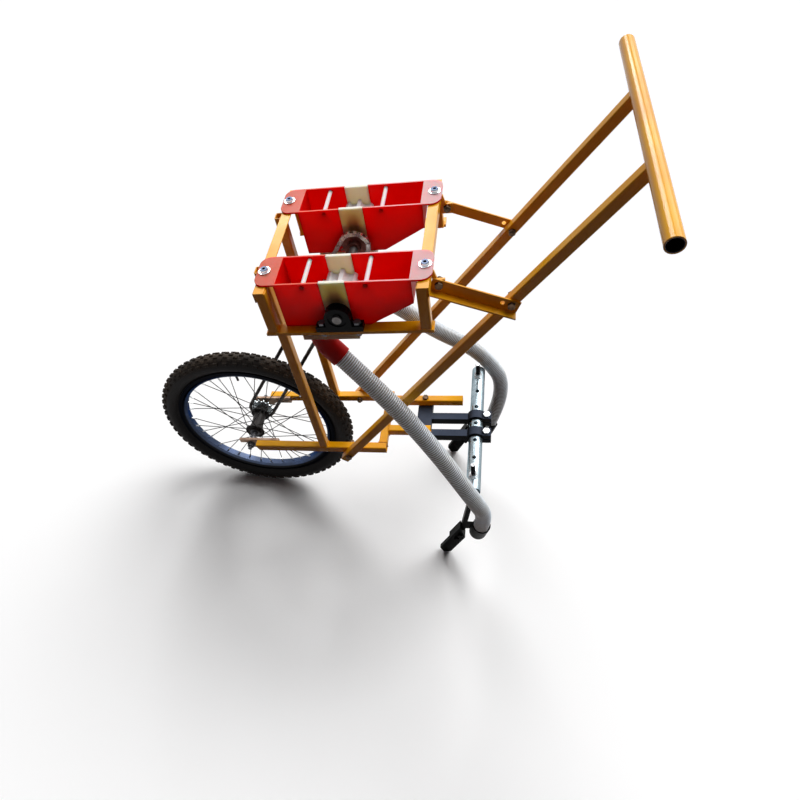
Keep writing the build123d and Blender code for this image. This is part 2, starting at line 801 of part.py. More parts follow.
hub_first = first_gap(2 * chain_run + shaft_wrap, front_angle + shaft_arc, wheel_pitch_radius)
freewheel = sprocket(wheel_teeth, wheel_pitch_radius, (0, 0), hub_first)
sprocket_half = sprocket_thick / 2
save(
    "freewheel_sprocket",
    freewheel - cross_rod(0, 0, chain_y - sprocket_half, chain_y + sprocket_half, hub_radius),
)
shaft_first = first_gap(chain_run, front_angle, shaft_pitch_radius)
shaft_plate = sprocket(shaft_teeth, shaft_pitch_radius, (shaft_x, shaft_rise), shaft_first)
hub_face = chain_y + sprocket_half
shaft_plate += cross_rod(shaft_x, shaft_rise, hub_face, hub_face + sprocket_hub_length, sprocket_hub_radius)
shaft_hole = cross_rod(shaft_x, shaft_rise, -shaft_half, shaft_half, shaft_radius)
save("shaft_sprocket", shaft_plate - shaft_hole)

# Metering shaft, its collars and the two celled metering wheels
save("metering_shaft", shaft_hole)
collar = hollow(shaft_x, shaft_rise, collar_inner, collar_inner + collar_width, collar_radius, shaft_radius)
save("shaft_collars", *both_sides(collar))
wheel_face = Circle(roller_wheel_radius) - Circle(shaft_radius)
cells = PolarLocations(roller_wheel_radius, cell_count, start_angle=cell_turn)
wheel_face -= [place * Circle(cell_radius) for place in cells]
metering_wheel = side_plate(Pos(shaft_x, shaft_rise) * wheel_face, roller_wheel_inner, roller_wheel_outer)
for node, piece in zip(("left_metering_wheel", "right_metering_wheel"), both_sides(metering_wheel)):
    save(node, piece)

# Foot-mounted bearings on the shelf bars
base_top = shelf_top + block_base
base_front = shaft_x + block_length / 2
base_rear = shaft_x - block_length / 2
base = outline(
    (base_rear, shelf_top), (base_front, shelf_top), (base_front, base_top), (base_rear, base_top)
)
dome = Pos(shaft_x, shaft_rise) * Circle(block_dome)
neck = outline(
    (shaft_x - block_dome, shelf_top), (shaft_x + block_dome, shelf_top),
    (shaft_x + block_dome, shaft_rise), (shaft_x - block_dome, shaft_rise),
)
pillow_face = base + neck + dome - Pos(shaft_x, shaft_rise) * Circle(insert_radius)
pillow = side_plate(pillow_face, block_inner, block_outer)
pillow_bolts = []
for x in (shaft_x - block_bolt_half, shaft_x + block_bolt_half):
    pillow -= upright_rod(x, block_middle, shelf_top, base_top, bolt_hole)
    head = (x, block_middle, base_top)
    for piece in bolt(head, (x, block_middle, shelf_bottom), bolt_radius, bolt_flat):
        pillow_bolts += both_sides(piece)
save("pillow_blocks", *both_sides(pillow))
save("pillow_bolts", *pillow_bolts)
insert = hollow(
    shaft_x, shaft_rise, block_middle - insert_width / 2, block_middle + insert_width / 2,
    insert_radius, shaft_radius + running_room,
)
save("shaft_bearings", *both_sides(insert))

# Hoppers: a front and a rear tub on either side of the metering housing, with end tabs
inner_wall = hopper_inner + hopper_wall
outer_wall = hopper_outer - hopper_wall
tub_floor = shelf_top + hopper_wall
front_tub = block((housing_front, hopper_front), (hopper_inner, hopper_outer), (shelf_top, rim_height))
front_tub -= block(
    (housing_front, hopper_front - hopper_wall), (inner_wall, outer_wall), (tub_floor, rim_height)
)
rear_outside = outline(
    (housing_rear, shelf_top), (hopper_foot, shelf_top), (hopper_rear, hopper_step),
    (hopper_rear, rim_height), (housing_rear, rim_height),
)
rear_inside = outline(
    (housing_rear, tub_floor), (hopper_foot + hopper_wall / 2, tub_floor),
    (hopper_rear + hopper_wall, hopper_step + hopper_wall / 2),
    (hopper_rear + hopper_wall, rim_height), (housing_rear, rim_height),
)
rear_tub = side_plate(rear_outside, hopper_inner, hopper_outer)
rear_tub -= side_plate(rear_inside, inner_wall, outer_wall)
trough = cross_rod(shaft_x, shaft_rise, trough_inner, trough_outer, trough_radius)
front_tub -= trough
rear_tub -= trough


def tab(root, end):
    """A level tab from a tub's end wall over a top bar, rounded at its free corners."""
    length = abs(end - root)
    face = Rectangle(length, hopper_outer - hopper_inner)
    side = 1 if end > root else -1
    corners = face.vertices().filter_by(lambda v: v.X * side > 0)
    face = fillet(corners, tab_round)
    middle = Pos((root + end) / 2, hopper_middle, bar_top)
    return extrude(middle * face, amount=rim_height - bar_top)


front_tub += tab(hopper_front, tab_front)
rear_tub += tab(hopper_rear, tab_rear)
front_tub -= upright_rod(front_bar_x, hopper_middle, bar_top, rim_height, screw_hole)
rear_tub -= upright_rod(rear_bar_x, hopper_middle, bar_top, rim_height, screw_hole)
tie_rods = []
for x in tie_x:
    neck_hole = cross_rod(x, tie_height, hopper_inner, hopper_outer, tie_neck + nut_room)
    front_tub -= neck_hole
    rear_tub -= neck_hole
    tie = cross_rod(x, tie_height, inner_wall, outer_wall, tie_radius)
    tie += cross_rod(x, tie_height, hopper_inner, hopper_outer, tie_neck)
    tie += cross_rod(x, tie_height, hopper_inner - tie_head, hopper_inner, tie_radius)
    tie += cross_rod(x, tie_height, hopper_outer, hopper_outer + tie_head, tie_radius)
    tie_rods += both_sides(tie)
save("left_hopper", front_tub, rear_tub)
save("right_hopper", *[mirror(tub, about=Plane.XZ) for tub in (front_tub, rear_tub)])
save("tie_rods", *tie_rods)

# Round-head screws with washers through the hopper tabs and the top bars
hopper_screws = []
for x in (front_bar_x, rear_bar_x):
    washer_top = rim_height + washer_thick
    cap = Pos(x, hopper_middle, washer_top) * Sphere(screw_head_radius)
    cap &= block(
        (x - tube, x + tube), (hopper_middle - tube, hopper_middle + tube),
        (washer_top, washer_top + screw_head_height),
    )
    cap -= hexagon(
        (x, hopper_middle, washer_top + screw_head_height), (0, 0, -1), screw_socket, socket_depth
    )
    shank_end = bar_flange - nut_height - thread_spare
    screw = cap + upright_rod(x, hopper_middle, shank_end, washer_top, screw_radius)
    washer = upright_rod(x, hopper_middle, rim_height, washer_top, screw_washer_radius)
    washer -= upright_rod(x, hopper_middle, rim_height, washer_top, screw_radius + nut_room)
    nut = hexagon((x, hopper_middle, bar_flange), (0, 0, -1), bolt_flat, nut_height)
    nut -= upright_rod(x, hopper_middle, bar_flange - nut_height, bar_flange, screw_radius + nut_room)
    for piece in (screw, washer, nut):
        hopper_screws += both_sides(piece)
save("hopper_screws", *hopper_screws)

# The upright plane of the left spout, which points back and out, with the right one its mirror image
yaw = math.radians(spout_yaw)
plane_run = Vector(-math.cos(yaw), math.sin(yaw), 0)
spout_plane = Plane(
    origin=(mouth_x, mouth_y, 0), x_dir=plane_run, z_dir=Vector(plane_run.Y, -plane_run.X, 0)
)
slope = math.radians(spout_slope)
spout_way = (math.cos(slope), -math.sin(slope))
spout_turn = 90 - spout_slope
bend_end = (-spout_straight * spout_way[0], mouth_rise - spout_straight * spout_way[1])
inlet_run = bend_end[0] - spout_bend * (1 - math.sin(slope))
inlet_rise = bend_end[1] + spout_bend * math.cos(slope)
inlet = spout_plane.from_local_coords(Vector(inlet_run, 0, 0))

# Metering housings: two cheeks between the tubs, a trough under the wheel, and a box with a chute
housing_x = (housing_rear, housing_front)
housing = block(housing_x, (hopper_inner, hopper_inner + cheek), (shelf_top, rim_height))
housing += block(housing_x, (hopper_outer - cheek, hopper_outer), (shelf_top, rim_height))
housing += block(housing_x, (hopper_inner, hopper_outer), (shelf_top, tub_floor))
housing += block((box_rear, box_front), (box_inner, box_outer), (box_bottom, shelf_top))
shell_radius = trough_radius + trough_wall
shell_x = (shaft_x - shell_radius, shaft_x + shell_radius)
shell = cross_rod(shaft_x, shaft_rise, box_inner, box_outer, shell_radius)
shell &= block(shell_x, (box_inner, box_outer), (shaft_rise - shell_radius, shelf_top))
housing += shell
housing -= trough
chute = outline(
    (box_rear + box_wall, shelf_top - box_wall), (box_rear + box_wall, box_bottom + box_wall + chute_fall),
    (inlet.X - outlet_radius, box_bottom + box_wall), (box_front - box_wall, box_bottom + box_wall),
    (box_front - box_wall, shelf_top - box_wall),
)
housing -= side_plate(chute, box_inner + box_wall, box_outer - box_wall)
housing -= upright_rod(inlet.X, inlet.Y, box_bottom, shelf_top - box_wall, outlet_radius)
housing -= cross_rod(shaft_x, shaft_rise, hopper_inner, hopper_outer, shaft_radius + shaft_room)
for node, piece in zip(("left_metering_housing", "right_metering_housing"), both_sides(housing)):
    save(node, piece)


def in_plane(start, end, radius):
    return rod((*start, 0), (*end, 0), radius)


def elbow(radius):
    """The bent stretch of a spout, about the centre of its bend in the hose plane."""
    centre = (inlet_run + spout_bend, inlet_rise)
    axis = Axis((*centre, 0), (0, 0, 1))
    start = Plane(origin=(inlet_run, inlet_rise, 0), x_dir=(0, 0, 1), z_dir=(0, -1, 0))
    return revolve(start * Circle(radius), axis, revolution_arc=spout_turn)


mouth_point = (0, mouth_rise)
spout_top = (inlet_run, box_bottom)
spout = in_plane(spout_top, (inlet_run, inlet_rise), spout_radius) + elbow(spout_radius)
spout += in_plane(bend_end, mouth_point, spout_radius)
spout += in_plane(spout_top, (inlet_run, box_bottom - spout_flange), spout_flange_radius)
spout -= in_plane(spout_top, (inlet_run, inlet_rise), spout_bore)
spout -= elbow(spout_bore)
spout -= in_plane(bend_end, mouth_point, spout_bore)
hose_seat = (-hose_start * spout_way[0], mouth_rise - hose_start * spout_way[1])
spout -= in_plane(hose_seat, mouth_point, hose_radius + hose_room)
for node, piece in zip(("left_spout", "right_spout"), both_sides(spout_plane * spout)):
    save(node, piece)


def ribbed_hose(first_run, route):
    """A ribbed tube from the spout's seat along a route to the boot's seat, bored through."""
    seat = spout_plane.from_local_coords(Vector(*hose_seat))
    way = spout_plane.from_local_coords(Vector(*mouth_point)) - seat
    points = [seat, seat + way.normalized() * first_run]
    points += [Vector(*point) for point in (*route, boot_seat)]
    radii = []
    for before, here, after in zip(points, points[1:], points[2:]):
        turn = math.radians((here - before).get_angle(after - here))
        reach = hose_bend_share * min((here - before).length, (after - here).length)
        radii.append(reach / math.tan(turn / 2))
    print("hose bend radii", [round(radius) for radius in radii])
    path = FilletPolyline(*points, radius=radii)
    ribs = int(path.length / hose_pitch)
    crest_end = rib_flank + rib_crest
    profile = (
        (0, hose_valley), (rib_flank, hose_radius),
        (crest_end, hose_radius), (crest_end + rib_flank, hose_valley),
    )
    rings = [
        ((index + along / hose_pitch) / ribs, radius) for index in range(ribs) for along, radius in profile
    ]
    rings.append((1, hose_valley))
    sections = [Plane(origin=path @ place, x_dir=(0, 1, 0), z_dir=path % place) for place, _ in rings]
    skin = loft([section * Circle(radius) for section, (_, radius) in zip(sections, rings)], ruled=True)
    bore = sweep(sections[0] * Circle(hose_bore), path=path)
    hose = skin - bore
    print("hose length", round(path.length), "ribs", ribs, "volume", round(hose.volume))
    return hose


save("left_hose", ribbed_hose(left_hose_first, left_hose_route))
save("right_hose", mirror(ribbed_hose(right_hose_first, right_hose_route), about=Plane.XZ))


# Boots: a socket for the hose over a narrower spill tube, in line with the hose's last run
def from_seat(route, length):
    return Vector(*boot_seat) + (Vector(*route[-1]) - Vector(*boot_seat)).normalized() * length


def boot_space(route):
    return rod(from_seat(route, boot_socket), from_seat(route, -boot_spill), boot_radius)


def boot(route):
    socket = rod(from_seat(route, boot_socket), boot_seat, hose_radius + hose_room)
    return boot_space(route) - socket - rod(boot_seat, from_seat(route, -boot_spill), spout_bore)


save("left_boot", boot(left_hose_route))
save("right_boot", mirror(boot(right_hose_route), about=Plane.XZ))

# Hitch bracket: a crossbar bolted under the hitch tubes, two arms and two split rings
bracket_top = rail_bottom
bracket_bottom = rail_bottom - tube
bracket = block((bracket_rear, bracket_front), (bracket_right, bracket_left), (bracket_bottom, bracket_top))
ring_radius = toolbar_radius + clamp_wall
for side in (1, -1):
    y = side * arm_y
    bracket += block(
        (toolbar_x, bracket_rear), (y - half_tube, y + half_tube), (bracket_bottom, bracket_top)
    )
    ring_y = (y - clamp_width / 2, y + clamp_width / 2)
    bracket += cross_rod(toolbar_x, toolbar_rise, *ring_y, ring_radius)
    bracket += block(
        (clamp_ear_rear, toolbar_x), ring_y, (toolbar_rise - clamp_ear, toolbar_rise + clamp_ear)
    )
    bracket -= block(
        (clamp_ear_rear, toolbar_x), ring_y, (toolbar_rise - clamp_slit / 2, toolbar_rise + clamp_slit / 2)
    )
    bracket -= upright_rod(
        clamp_bolt_x, y, toolbar_rise - clamp_ear, toolbar_rise + clamp_ear, clamp_bolt_radius + hole_room
    )
bracket -= cross_rod(toolbar_x, toolbar_rise, -toolbar_half, toolbar_half, toolbar_radius + clamp_room)
for y in (hitch_left_y, hitch_right_y):
    bracket -= upright_rod(bracket_bolt_x, y, bracket_bottom, bracket_top, bolt_hole)
save("hitch_bracket", bracket)
clamp_bolts = []
for y in (arm_y, -arm_y):
    clamp_bolts += bolt(
        (clamp_bolt_x, y, toolbar_rise + clamp_ear), (clamp_bolt_x, y, toolbar_rise - clamp_ear),
        clamp_bolt_radius, clamp_bolt_flat,
    )
save("clamp_bolts", *clamp_bolts)

# Toolbar pipe with a row of upright holes
toolbar = hollow(
    toolbar_x, toolbar_rise, -toolbar_half, toolbar_half, toolbar_radius, toolbar_radius - toolbar_wall
)
for index in range(toolbar_holes):
    y = (index - toolbar_holes // 2) * toolbar_hole_pitch
    toolbar -= upright_rod(
        toolbar_x, y, toolbar_rise - toolbar_radius, toolbar_rise + toolbar_radius, toolbar_hole_radius
    )
save("toolbar", toolbar)

# Studs with a washer and a nut on top of the toolbar, screwed into the opener legs
stud_washer = pipe_top + washer_thick
stud = upright_rod(toolbar_x, stud_y, leg_head_bottom, stud_top, stud_radius)
top_washer = upright_rod(toolbar_x, stud_y, pipe_top, stud_washer, washer_radius)
top_washer -= upright_rod(toolbar_x, stud_y, pipe_top, stud_washer, stud_radius + nut_room)
stud_nut = stud_washer + axle_nut_height
top_nut = hexagon((toolbar_x, stud_y, stud_washer), (0, 0, 1), stud_flat, axle_nut_height)
top_nut -= upright_rod(toolbar_x, stud_y, stud_washer, stud_nut, stud_radius + nut_room)
save("opener_studs", *[side for piece in (stud, top_washer, top_nut) for side in both_sides(piece)])

# Opener legs: a saddle head, a raked bar and a foot for the chisel, with a gusset to the boot
chisel_face = outline(
    on_chisel(chisel_top_front, chisel_width / 2), on_chisel(chisel_shoulder, chisel_width / 2),
    on_chisel(chisel_length, 0), on_chisel(chisel_heel, -chisel_width / 2),
    on_chisel(chisel_top_rear, -chisel_width / 2),
)
foot_face = outline(
    on_chisel(chisel_top_front, chisel_width / 2), on_chisel(foot_length, chisel_width / 2),
    on_chisel(foot_length, -chisel_width / 2), on_chisel(chisel_top_rear, -chisel_width / 2),
)
leg_outer = stud_y + leg_width / 2
pipe_space = cross_rod(toolbar_x, toolbar_rise, -toolbar_half, toolbar_half, toolbar_radius)
chisel_holes = [
    cross_rod(*on_chisel(along, 0), leg_outer - foot_thick, leg_outer + chisel_thick, bolt_hole)
    for along in chisel_bolts
]


def opener_leg(route):
    head = block(
        (toolbar_x - leg_head / 2, toolbar_x + leg_head / 2),
        (stud_y - leg_width / 2, leg_outer),
        (leg_head_bottom, toolbar_rise - half_tube),
    )
    head -= pipe_space
    head -= upright_rod(toolbar_x, stud_y, leg_head_bottom, toolbar_rise, stud_radius)
    bar_face = outline(
        (toolbar_x - leg_depth / 2, leg_head_bottom), (toolbar_x + leg_depth / 2, leg_head_bottom),
        (leg_foot[0] + leg_depth / 2, leg_foot[1]), (leg_foot[0] - leg_depth / 2, leg_foot[1]),
    )
    leg = head + side_plate(bar_face, stud_y - leg_width / 2, leg_outer)
    leg += side_plate(foot_face, leg_outer - foot_thick, leg_outer)
    gusset = block(
        (toolbar_x, leg_foot[0]), (stud_y - gusset_thick / 2, stud_y + gusset_thick / 2),
        (gusset_bottom, gusset_top),
    )
    leg = leg + gusset - boot_space(route)
    for hole in chisel_holes:
        leg -= hole
    return leg


save("left_opener_leg", opener_leg(left_hose_route))
save("right_opener_leg", mirror(opener_leg(right_hose_route), about=Plane.XZ))

# Chisel points bolted to the outer face of the feet
chisel = side_plate(chisel_face, leg_outer, leg_outer + chisel_thick)
for hole in chisel_holes:
    chisel -= hole
save("chisel_points", *both_sides(chisel))
chisel_fixings = []
for along in chisel_bolts:
    x, z = on_chisel(along, 0)
    seats = (x, leg_outer + chisel_thick, z), (x, leg_outer - foot_thick, z)
    for piece in bolt(*seats, bolt_radius, bolt_flat):
        chisel_fixings += both_sides(piece)
save("chisel_bolts", *chisel_fixings)
print("stance", round(math.degrees(stance_angle), 2), "shaft x", round(shaft_x, 2))
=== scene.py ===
import math

import bmesh
import bpy
from mathutils import Matrix, Vector


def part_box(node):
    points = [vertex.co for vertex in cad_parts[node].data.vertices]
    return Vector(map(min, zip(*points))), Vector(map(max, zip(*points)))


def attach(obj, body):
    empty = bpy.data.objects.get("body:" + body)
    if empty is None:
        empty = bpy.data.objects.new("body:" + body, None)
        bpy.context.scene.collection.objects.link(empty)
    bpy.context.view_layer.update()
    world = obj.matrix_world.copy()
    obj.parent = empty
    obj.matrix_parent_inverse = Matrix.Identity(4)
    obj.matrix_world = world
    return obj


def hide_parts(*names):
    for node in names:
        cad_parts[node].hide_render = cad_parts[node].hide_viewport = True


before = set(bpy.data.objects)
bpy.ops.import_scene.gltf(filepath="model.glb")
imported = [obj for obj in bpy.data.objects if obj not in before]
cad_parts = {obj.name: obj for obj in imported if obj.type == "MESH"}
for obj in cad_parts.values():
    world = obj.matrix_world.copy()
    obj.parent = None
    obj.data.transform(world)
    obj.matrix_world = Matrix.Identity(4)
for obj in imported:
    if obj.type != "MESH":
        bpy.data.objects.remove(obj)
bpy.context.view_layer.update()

# Welded frame: square steel tube, flat bar and angle, cut, butt-welded and sprayed golden yellow.
# The single coat is a little uneven, dulled by handling and dust, and thin along the edges.
# The T-bar is a pipe with a glossier coat, and the inside of its bore is painted near black: bare steel
# with painted shade.
YELLOW = (0.95, 0.45, 0.003)
DULL_YELLOW = (0.80, 0.32, 0.003)
PRIMER = (0.30, 0.10, 0.02)
BORE_SHADE_BLACK = (0.010, 0.009, 0.008)
PAINT_EDGE = 0.0012
PAINT_LIP = 0.0005
HANDLEBAR_BORE = 0.01085
WHEEL = Vector((0.2232468, 0, 0.260))
FRAME_TILT = math.radians(11.21106)
STANCE = Matrix.Translation(WHEEL) @ Matrix.Rotation(FRAME_TILT, 4, "Y")
UP = STANCE.to_3x3() @ Vector((0, 0, 1))
FRAME_NODES = """left_rail right_rail rear_crossmember left_hitch_tube right_hitch_tube
    left_upright right_upright front_top_bar rear_top_bar hopper_posts left_shelf_bar right_shelf_bar
    left_handle right_handle left_brace right_brace brace_lugs""".split()


class Wire:
    """An output socket of a node tree that can be used in sums like a number."""

    def __init__(self, tree, socket=None):
        self.tree = tree
        self.socket = socket

    def join(self, socket, value):
        """Fills a socket with a link or with a plain value."""
        if isinstance(value, Wire):
            self.tree.links.new(value.socket, socket)
        else:
            socket.default_value = value

    def add(self, kind, settings, sockets, out=0):
        """Adds a node, sets it, fills its sockets with values or links, and gives one output."""
        node = self.tree.nodes.new(kind)
        for key, value in settings.items():
            setattr(node, key, value)
        for key, value in sockets.items():
            self.join(node.inputs[key], value)
        return Wire(self.tree, node.outputs[out])

    def sum(self, operation, first, second=0.0):
        return self.add("ShaderNodeMath", {"operation": operation}, {0: first, 1: second})

    def __add__(self, other):
        return self.sum("ADD", self, other)

    def __sub__(self, other):
        return self.sum("SUBTRACT", self, other)

    def __rsub__(self, other):
        return self.sum("SUBTRACT", other, self)

    def __mul__(self, other):
        return self.sum("MULTIPLY", self, other)

    __radd__ = __add__
    __rmul__ = __mul__

    def between(self, low, high):
        """The share of the way from low to high, kept from 0 to 1."""
        return self.add("ShaderNodeMapRange", {}, {"Value": self, "From Min": low, "From Max": high})

    def noise(self, place, scale, detail=3.0):
        sockets = {"Vector": place, "Scale": scale, "Detail": detail}
        return self.add("ShaderNodeTexNoise", {}, sockets, "Fac")

    def mix(self, factor, first, second):
        """A colour that goes from the first to the second as the factor goes from 0 to 1."""
        ends = [end if isinstance(end, Wire) else (*end, 1) for end in (first, second)]
        sockets = {0: factor, 6: ends[0], 7: ends[1]}
        return self.add("ShaderNodeMix", {"data_type": "RGBA"}, sockets, 2)

    def bump(self, height, strength, distance, under=None):
        sockets = {"Height": height, "Strength": strength, "Distance": distance}
        if under is not None:
            sockets["Normal"] = under
        return self.add("ShaderNodeBump", {}, sockets)


def start_finish(name):
    """A new material, a wire to build on, and the place of each point on its piece."""
    material = bpy.data.materials.new(name)
    material.use_nodes = True
    wire = Wire(material.node_tree)
    return material, wire, wire.add("ShaderNodeTexCoord", {}, {}, "Object")


def end_finish(material, sockets):
    """Fills the shader's sockets with values or links. The solid view shows it as plain grey."""
    wire = Wire(material.node_tree)
    shader = material.node_tree.nodes["Principled BSDF"]
    for key, value in sockets.items():
        socket = shader.inputs[key]
        is_colour = isinstance(value, tuple) and socket.type == "RGBA"
        wire.join(socket, (*value, 1) if is_colour else value)
    material.diffuse_color = (0.5, 0.5, 0.5, 1)
    return material


def dress(material, nodes):
    for node in nodes:
        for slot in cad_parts[node].material_slots:
            slot.material = material


def dot(wire, first, second):
    return wire.add("ShaderNodeVectorMath", {"operation": "DOT_PRODUCT"}, {0: first, 1: second}, "Value")


def edge_of(wire, radius):
    """A normal smoothed over a radius, and how far it leaves the plain one: most along edges."""
    round_normal = wire.add("ShaderNodeBevel", {"samples": 4}, {"Radius": radius})
    plain_normal = wire.add("ShaderNodeNewGeometry", {}, {}, "Normal")
    return round_normal, 1 - dot(wire, round_normal, plain_normal)


def facing_up(wire):
    """How squarely a face looks up from the frame, from -1 to 1."""
    return dot(wire, wire.add("ShaderNodeNewGeometry", {}, {}, "Normal"), tuple(UP))


def reach_from(wire, place, axle):
    """The distance of a point from a line along Y."""
    offset = wire.add("ShaderNodeVectorMath", {"operation": "SUBTRACT"}, {0: place, 1: tuple(axle)})
    radial = wire.add("ShaderNodeVectorMath", {"operation": "MULTIPLY"}, {0: offset, 1: (1, 0, 1)})
    return wire.add("ShaderNodeVectorMath", {"operation": "LENGTH"}, {0: radial}, "Value")


def sprayed_paint(name, fresh, dull, under, rough, wear, gloss=0.20, tops=None, bore=None):
    """Sprayed enamel with faint orange peel, dull patches and edges worn towards what is under it.

    Faces that look up may be given a painted sheen of sky light, and a bore (axle, radius) is painted near
    black as shade.
    """
    material, wire, place = start_finish(name)
    round_normal, edge = edge_of(wire, PAINT_EDGE)
    patches = wire.noise(place, scale=9.0, detail=5.0).between(0.38, 0.72)
    specks = wire.noise(place, scale=160.0).between(0.60, 0.72)
    colour = wire.mix(patches, fresh, dull)
    # Faces that look up get a painted sheen of sky light.
    if tops:
        sky_lit = facing_up(wire).between(0.6, 0.95) * (1 - patches * 0.5)
        colour = wire.mix(sky_lit, colour, tops)
    worn = (edge * wear * specks).between(0.0, 1.0)
    colour = wire.mix(worn, colour, under)
    # The bore is painted near black as shade.
    if bore:
        axle, radius = bore
        inside = reach_from(wire, place, axle).between(radius + 2 * PAINT_LIP, radius + PAINT_LIP)
        colour = wire.mix(inside, colour, BORE_SHADE_BLACK)
    peel = wire.noise(place, scale=420.0, detail=2.0)
    return end_finish(material, {
        "Base Color": colour,
        "Roughness": patches * 0.16 + worn * 0.3 + rough,
        "Specular IOR Level": gloss,
        "Normal": wire.bump(peel, strength=0.10, distance=0.0006, under=round_normal),
    })


yellow = sprayed_paint("golden_yellow_paint", YELLOW, DULL_YELLOW, PRIMER, rough=0.26, wear=9.0)
dress(yellow, FRAME_NODES)
bar_low, bar_high = (Vector(corner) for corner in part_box("handlebar"))
bar_bore = ((bar_low + bar_high) / 2, HANDLEBAR_BORE)
bar_yellow = sprayed_paint(
    "yellow_handlebar", YELLOW, DULL_YELLOW, PRIMER, rough=0.13, wear=9.0, bore=bar_bore,
)
dress(bar_yellow, ["handlebar"])

# Weld beads: overlapping puddles of weld round the butt joints, sprayed over with the frame.
# Each is laid by hand, so the puddles differ a little in size.
BEAD_STEP = 0.0023
BEAD_RADIUS = 0.0017
BEAD_SPREAD = (0.75, 1.2)
BEAD_SEED = 4
HALF_TUBE = 0.010
RAIL_SIDE = 0.0835
RAIL_RISE = 0.008
RAIL_REAR = -0.365
UPRIGHT_X = -0.206
HITCH_SIDES = (0.028, -0.069)
POST_ROWS = (-0.228, -0.514)
POST_SIDES = (0.155, -0.142)
POST_FOOT = 0.488
weld_joints = []
for side in (1, -1):
    weld_joints.append(((UPRIGHT_X, side * RAIL_SIDE, RAIL_RISE + HALF_TUBE), "z"))
    weld_joints.append(((RAIL_REAR + HALF_TUBE, side * (RAIL_SIDE - HALF_TUBE), RAIL_RISE), "y"))
weld_joints += [((RAIL_REAR, y, RAIL_RISE), "x") for y in HITCH_SIDES]
weld_joints += [((x, y, POST_FOOT), "z") for x in POST_ROWS for y in POST_SIDES]


def grow_tree(name, inputs):
    """An empty geometry tree with a geometry in and out and named inputs for its sizes."""
    tree = bpy.data.node_groups.new(name, "GeometryNodeTree")
    tree.interface.new_socket("Geometry", in_out="INPUT", socket_type="NodeSocketGeometry")
    for label, kind in inputs.items():
        tree.interface.new_socket(label, in_out="INPUT", socket_type="NodeSocket" + kind)
    tree.interface.new_socket("Geometry", in_out="OUTPUT", socket_type="NodeSocketGeometry")
    wire = Wire(tree)
    source = tree.nodes.new("NodeGroupInput")
    return tree, wire, {socket.name: Wire(tree, socket) for socket in source.outputs if socket.name}


def end_tree(wire, shape, material):
    """Turns what a tree made into plain faces with their material, and sends it out."""
    real = wire.add("GeometryNodeRealizeInstances", {}, {"Geometry": shape})
    done = wire.add("GeometryNodeSetMaterial", {}, {"Geometry": real, "Material": material})
    out = wire.tree.nodes.new("NodeGroupOutput")
    wire.join(out.inputs["Geometry"], done)


def new_object(name, data):
    made = bpy.data.objects.new(name, data)
    bpy.context.scene.collection.objects.link(made)
    return made


def grown(name, base, tree, runs):
    """A plain mesh object made by running a tree on a base object, once for each set of sizes.

    The base object is then removed.
    """
    for sizes in runs:
        modifier = base.modifiers.new("grow", "NODES")
        modifier.node_group = tree
        for item in tree.interface.items_tree:
            if item.in_out == "INPUT" and item.name in sizes:
                modifier[item.identifier] = sizes[item.name]
    bpy.context.view_layer.update()
    evaluated = base.evaluated_get(bpy.context.evaluated_depsgraph_get())
    mesh = bpy.data.meshes.new_from_object(evaluated)
    mesh.name = name
    bpy.data.objects.remove(base)
    return new_object(name, mesh)


def lines_object(name, loops):
    """An object of closed loops of edges."""
    points = []
    edges = []
    for loop in loops:
        first = len(points)
        points += loop
        edges += [(first + i, first + (i + 1) % len(loop)) for i in range(len(loop))]
    mesh = bpy.data.meshes.new(name)
    mesh.from_pydata(points, edges, [])
    return new_object(name, mesh)


def square_loop(centre, across):
    """The corners of a tube's square section, cut across one of the frame's axes."""
    sides = {
        "x": ((0, 1, 0), (0, 0, 1)),
        "y": ((1, 0, 0), (0, 0, 1)),
        "z": ((1, 0, 0), (0, 1, 0)),
    }[across]
    first, second = (Vector(side) * HALF_TUBE for side in sides)
    corners = (first + second, second - first, -first - second, first - second)
    return [STANCE @ (Vector(centre) + corner) for corner in corners]


tree, wire, given = grow_tree("weld_bead", {"Step": "Float", "Radius": "Float"})
path = wire.add("GeometryNodeMeshToCurve", {}, {"Mesh": given["Geometry"]})
path = wire.add("GeometryNodeResampleCurve", {"mode": "LENGTH"}, {"Curve": path, "Length": given["Step"]})
puddle = wire.add("GeometryNodeMeshIcoSphere", {}, {"Radius": given["Radius"], "Subdivisions": 1})
uneven = wire.add(
    "FunctionNodeRandomValue", {"data_type": "FLOAT"},
    {"Min": BEAD_SPREAD[0], "Max": BEAD_SPREAD[1], "Seed": BEAD_SEED}, 1,
)
beads = wire.add("GeometryNodeInstanceOnPoints", {}, {"Points": path, "Instance": puddle, "Scale": uneven})
end_tree(wire, beads, yellow)
weld_lines = lines_object("weld_lines", [square_loop(*joint) for joint in weld_joints])
welds = grown("weld_beads", weld_lines, tree, [{"Step": BEAD_STEP, "Radius": BEAD_RADIUS}])
welds.data.shade_smooth()
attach(welds, "frame")

# Bolts, nuts, screws, axle and dropouts: headed and turned steel with zinc plating, and two bare plates.
# The clamp bolts and the hoppers' washers are bright, the axle and the pillow bolts are dim, and the frame
# bolts have browned. Recesses are painted dark as shade, and the hoppers' screw heads are painted dark blue
# as a reflection.
RECESS_SHADE = (0.012, 0.011, 0.010)
HEAD_REFLECTION_BLUE = (0.045, 0.055, 0.080)
EDGE_TINT = (0.40, 0.42, 0.44)
RECESS = 0.004
HEAD_RADIUS = 0.0072
HEAD_EDGE = 0.0003
HOPPER_MIDDLE = 0.1075
SCREW_ROWS = (-0.22607, -0.51607)
SCREW_SEAT = 0.590
SCREWS = [
    STANCE @ Vector((x, y, SCREW_SEAT))
    for x in SCREW_ROWS
    for y in (HOPPER_MIDDLE, -HOPPER_MIDDLE)
]


def openness(wire, distance):
    """How open the space round a point is within a distance, from 0 in a deep recess to 1."""
    return wire.add("ShaderNodeAmbientOcclusion", {"samples": 4}, {"Distance": distance}, "AO")


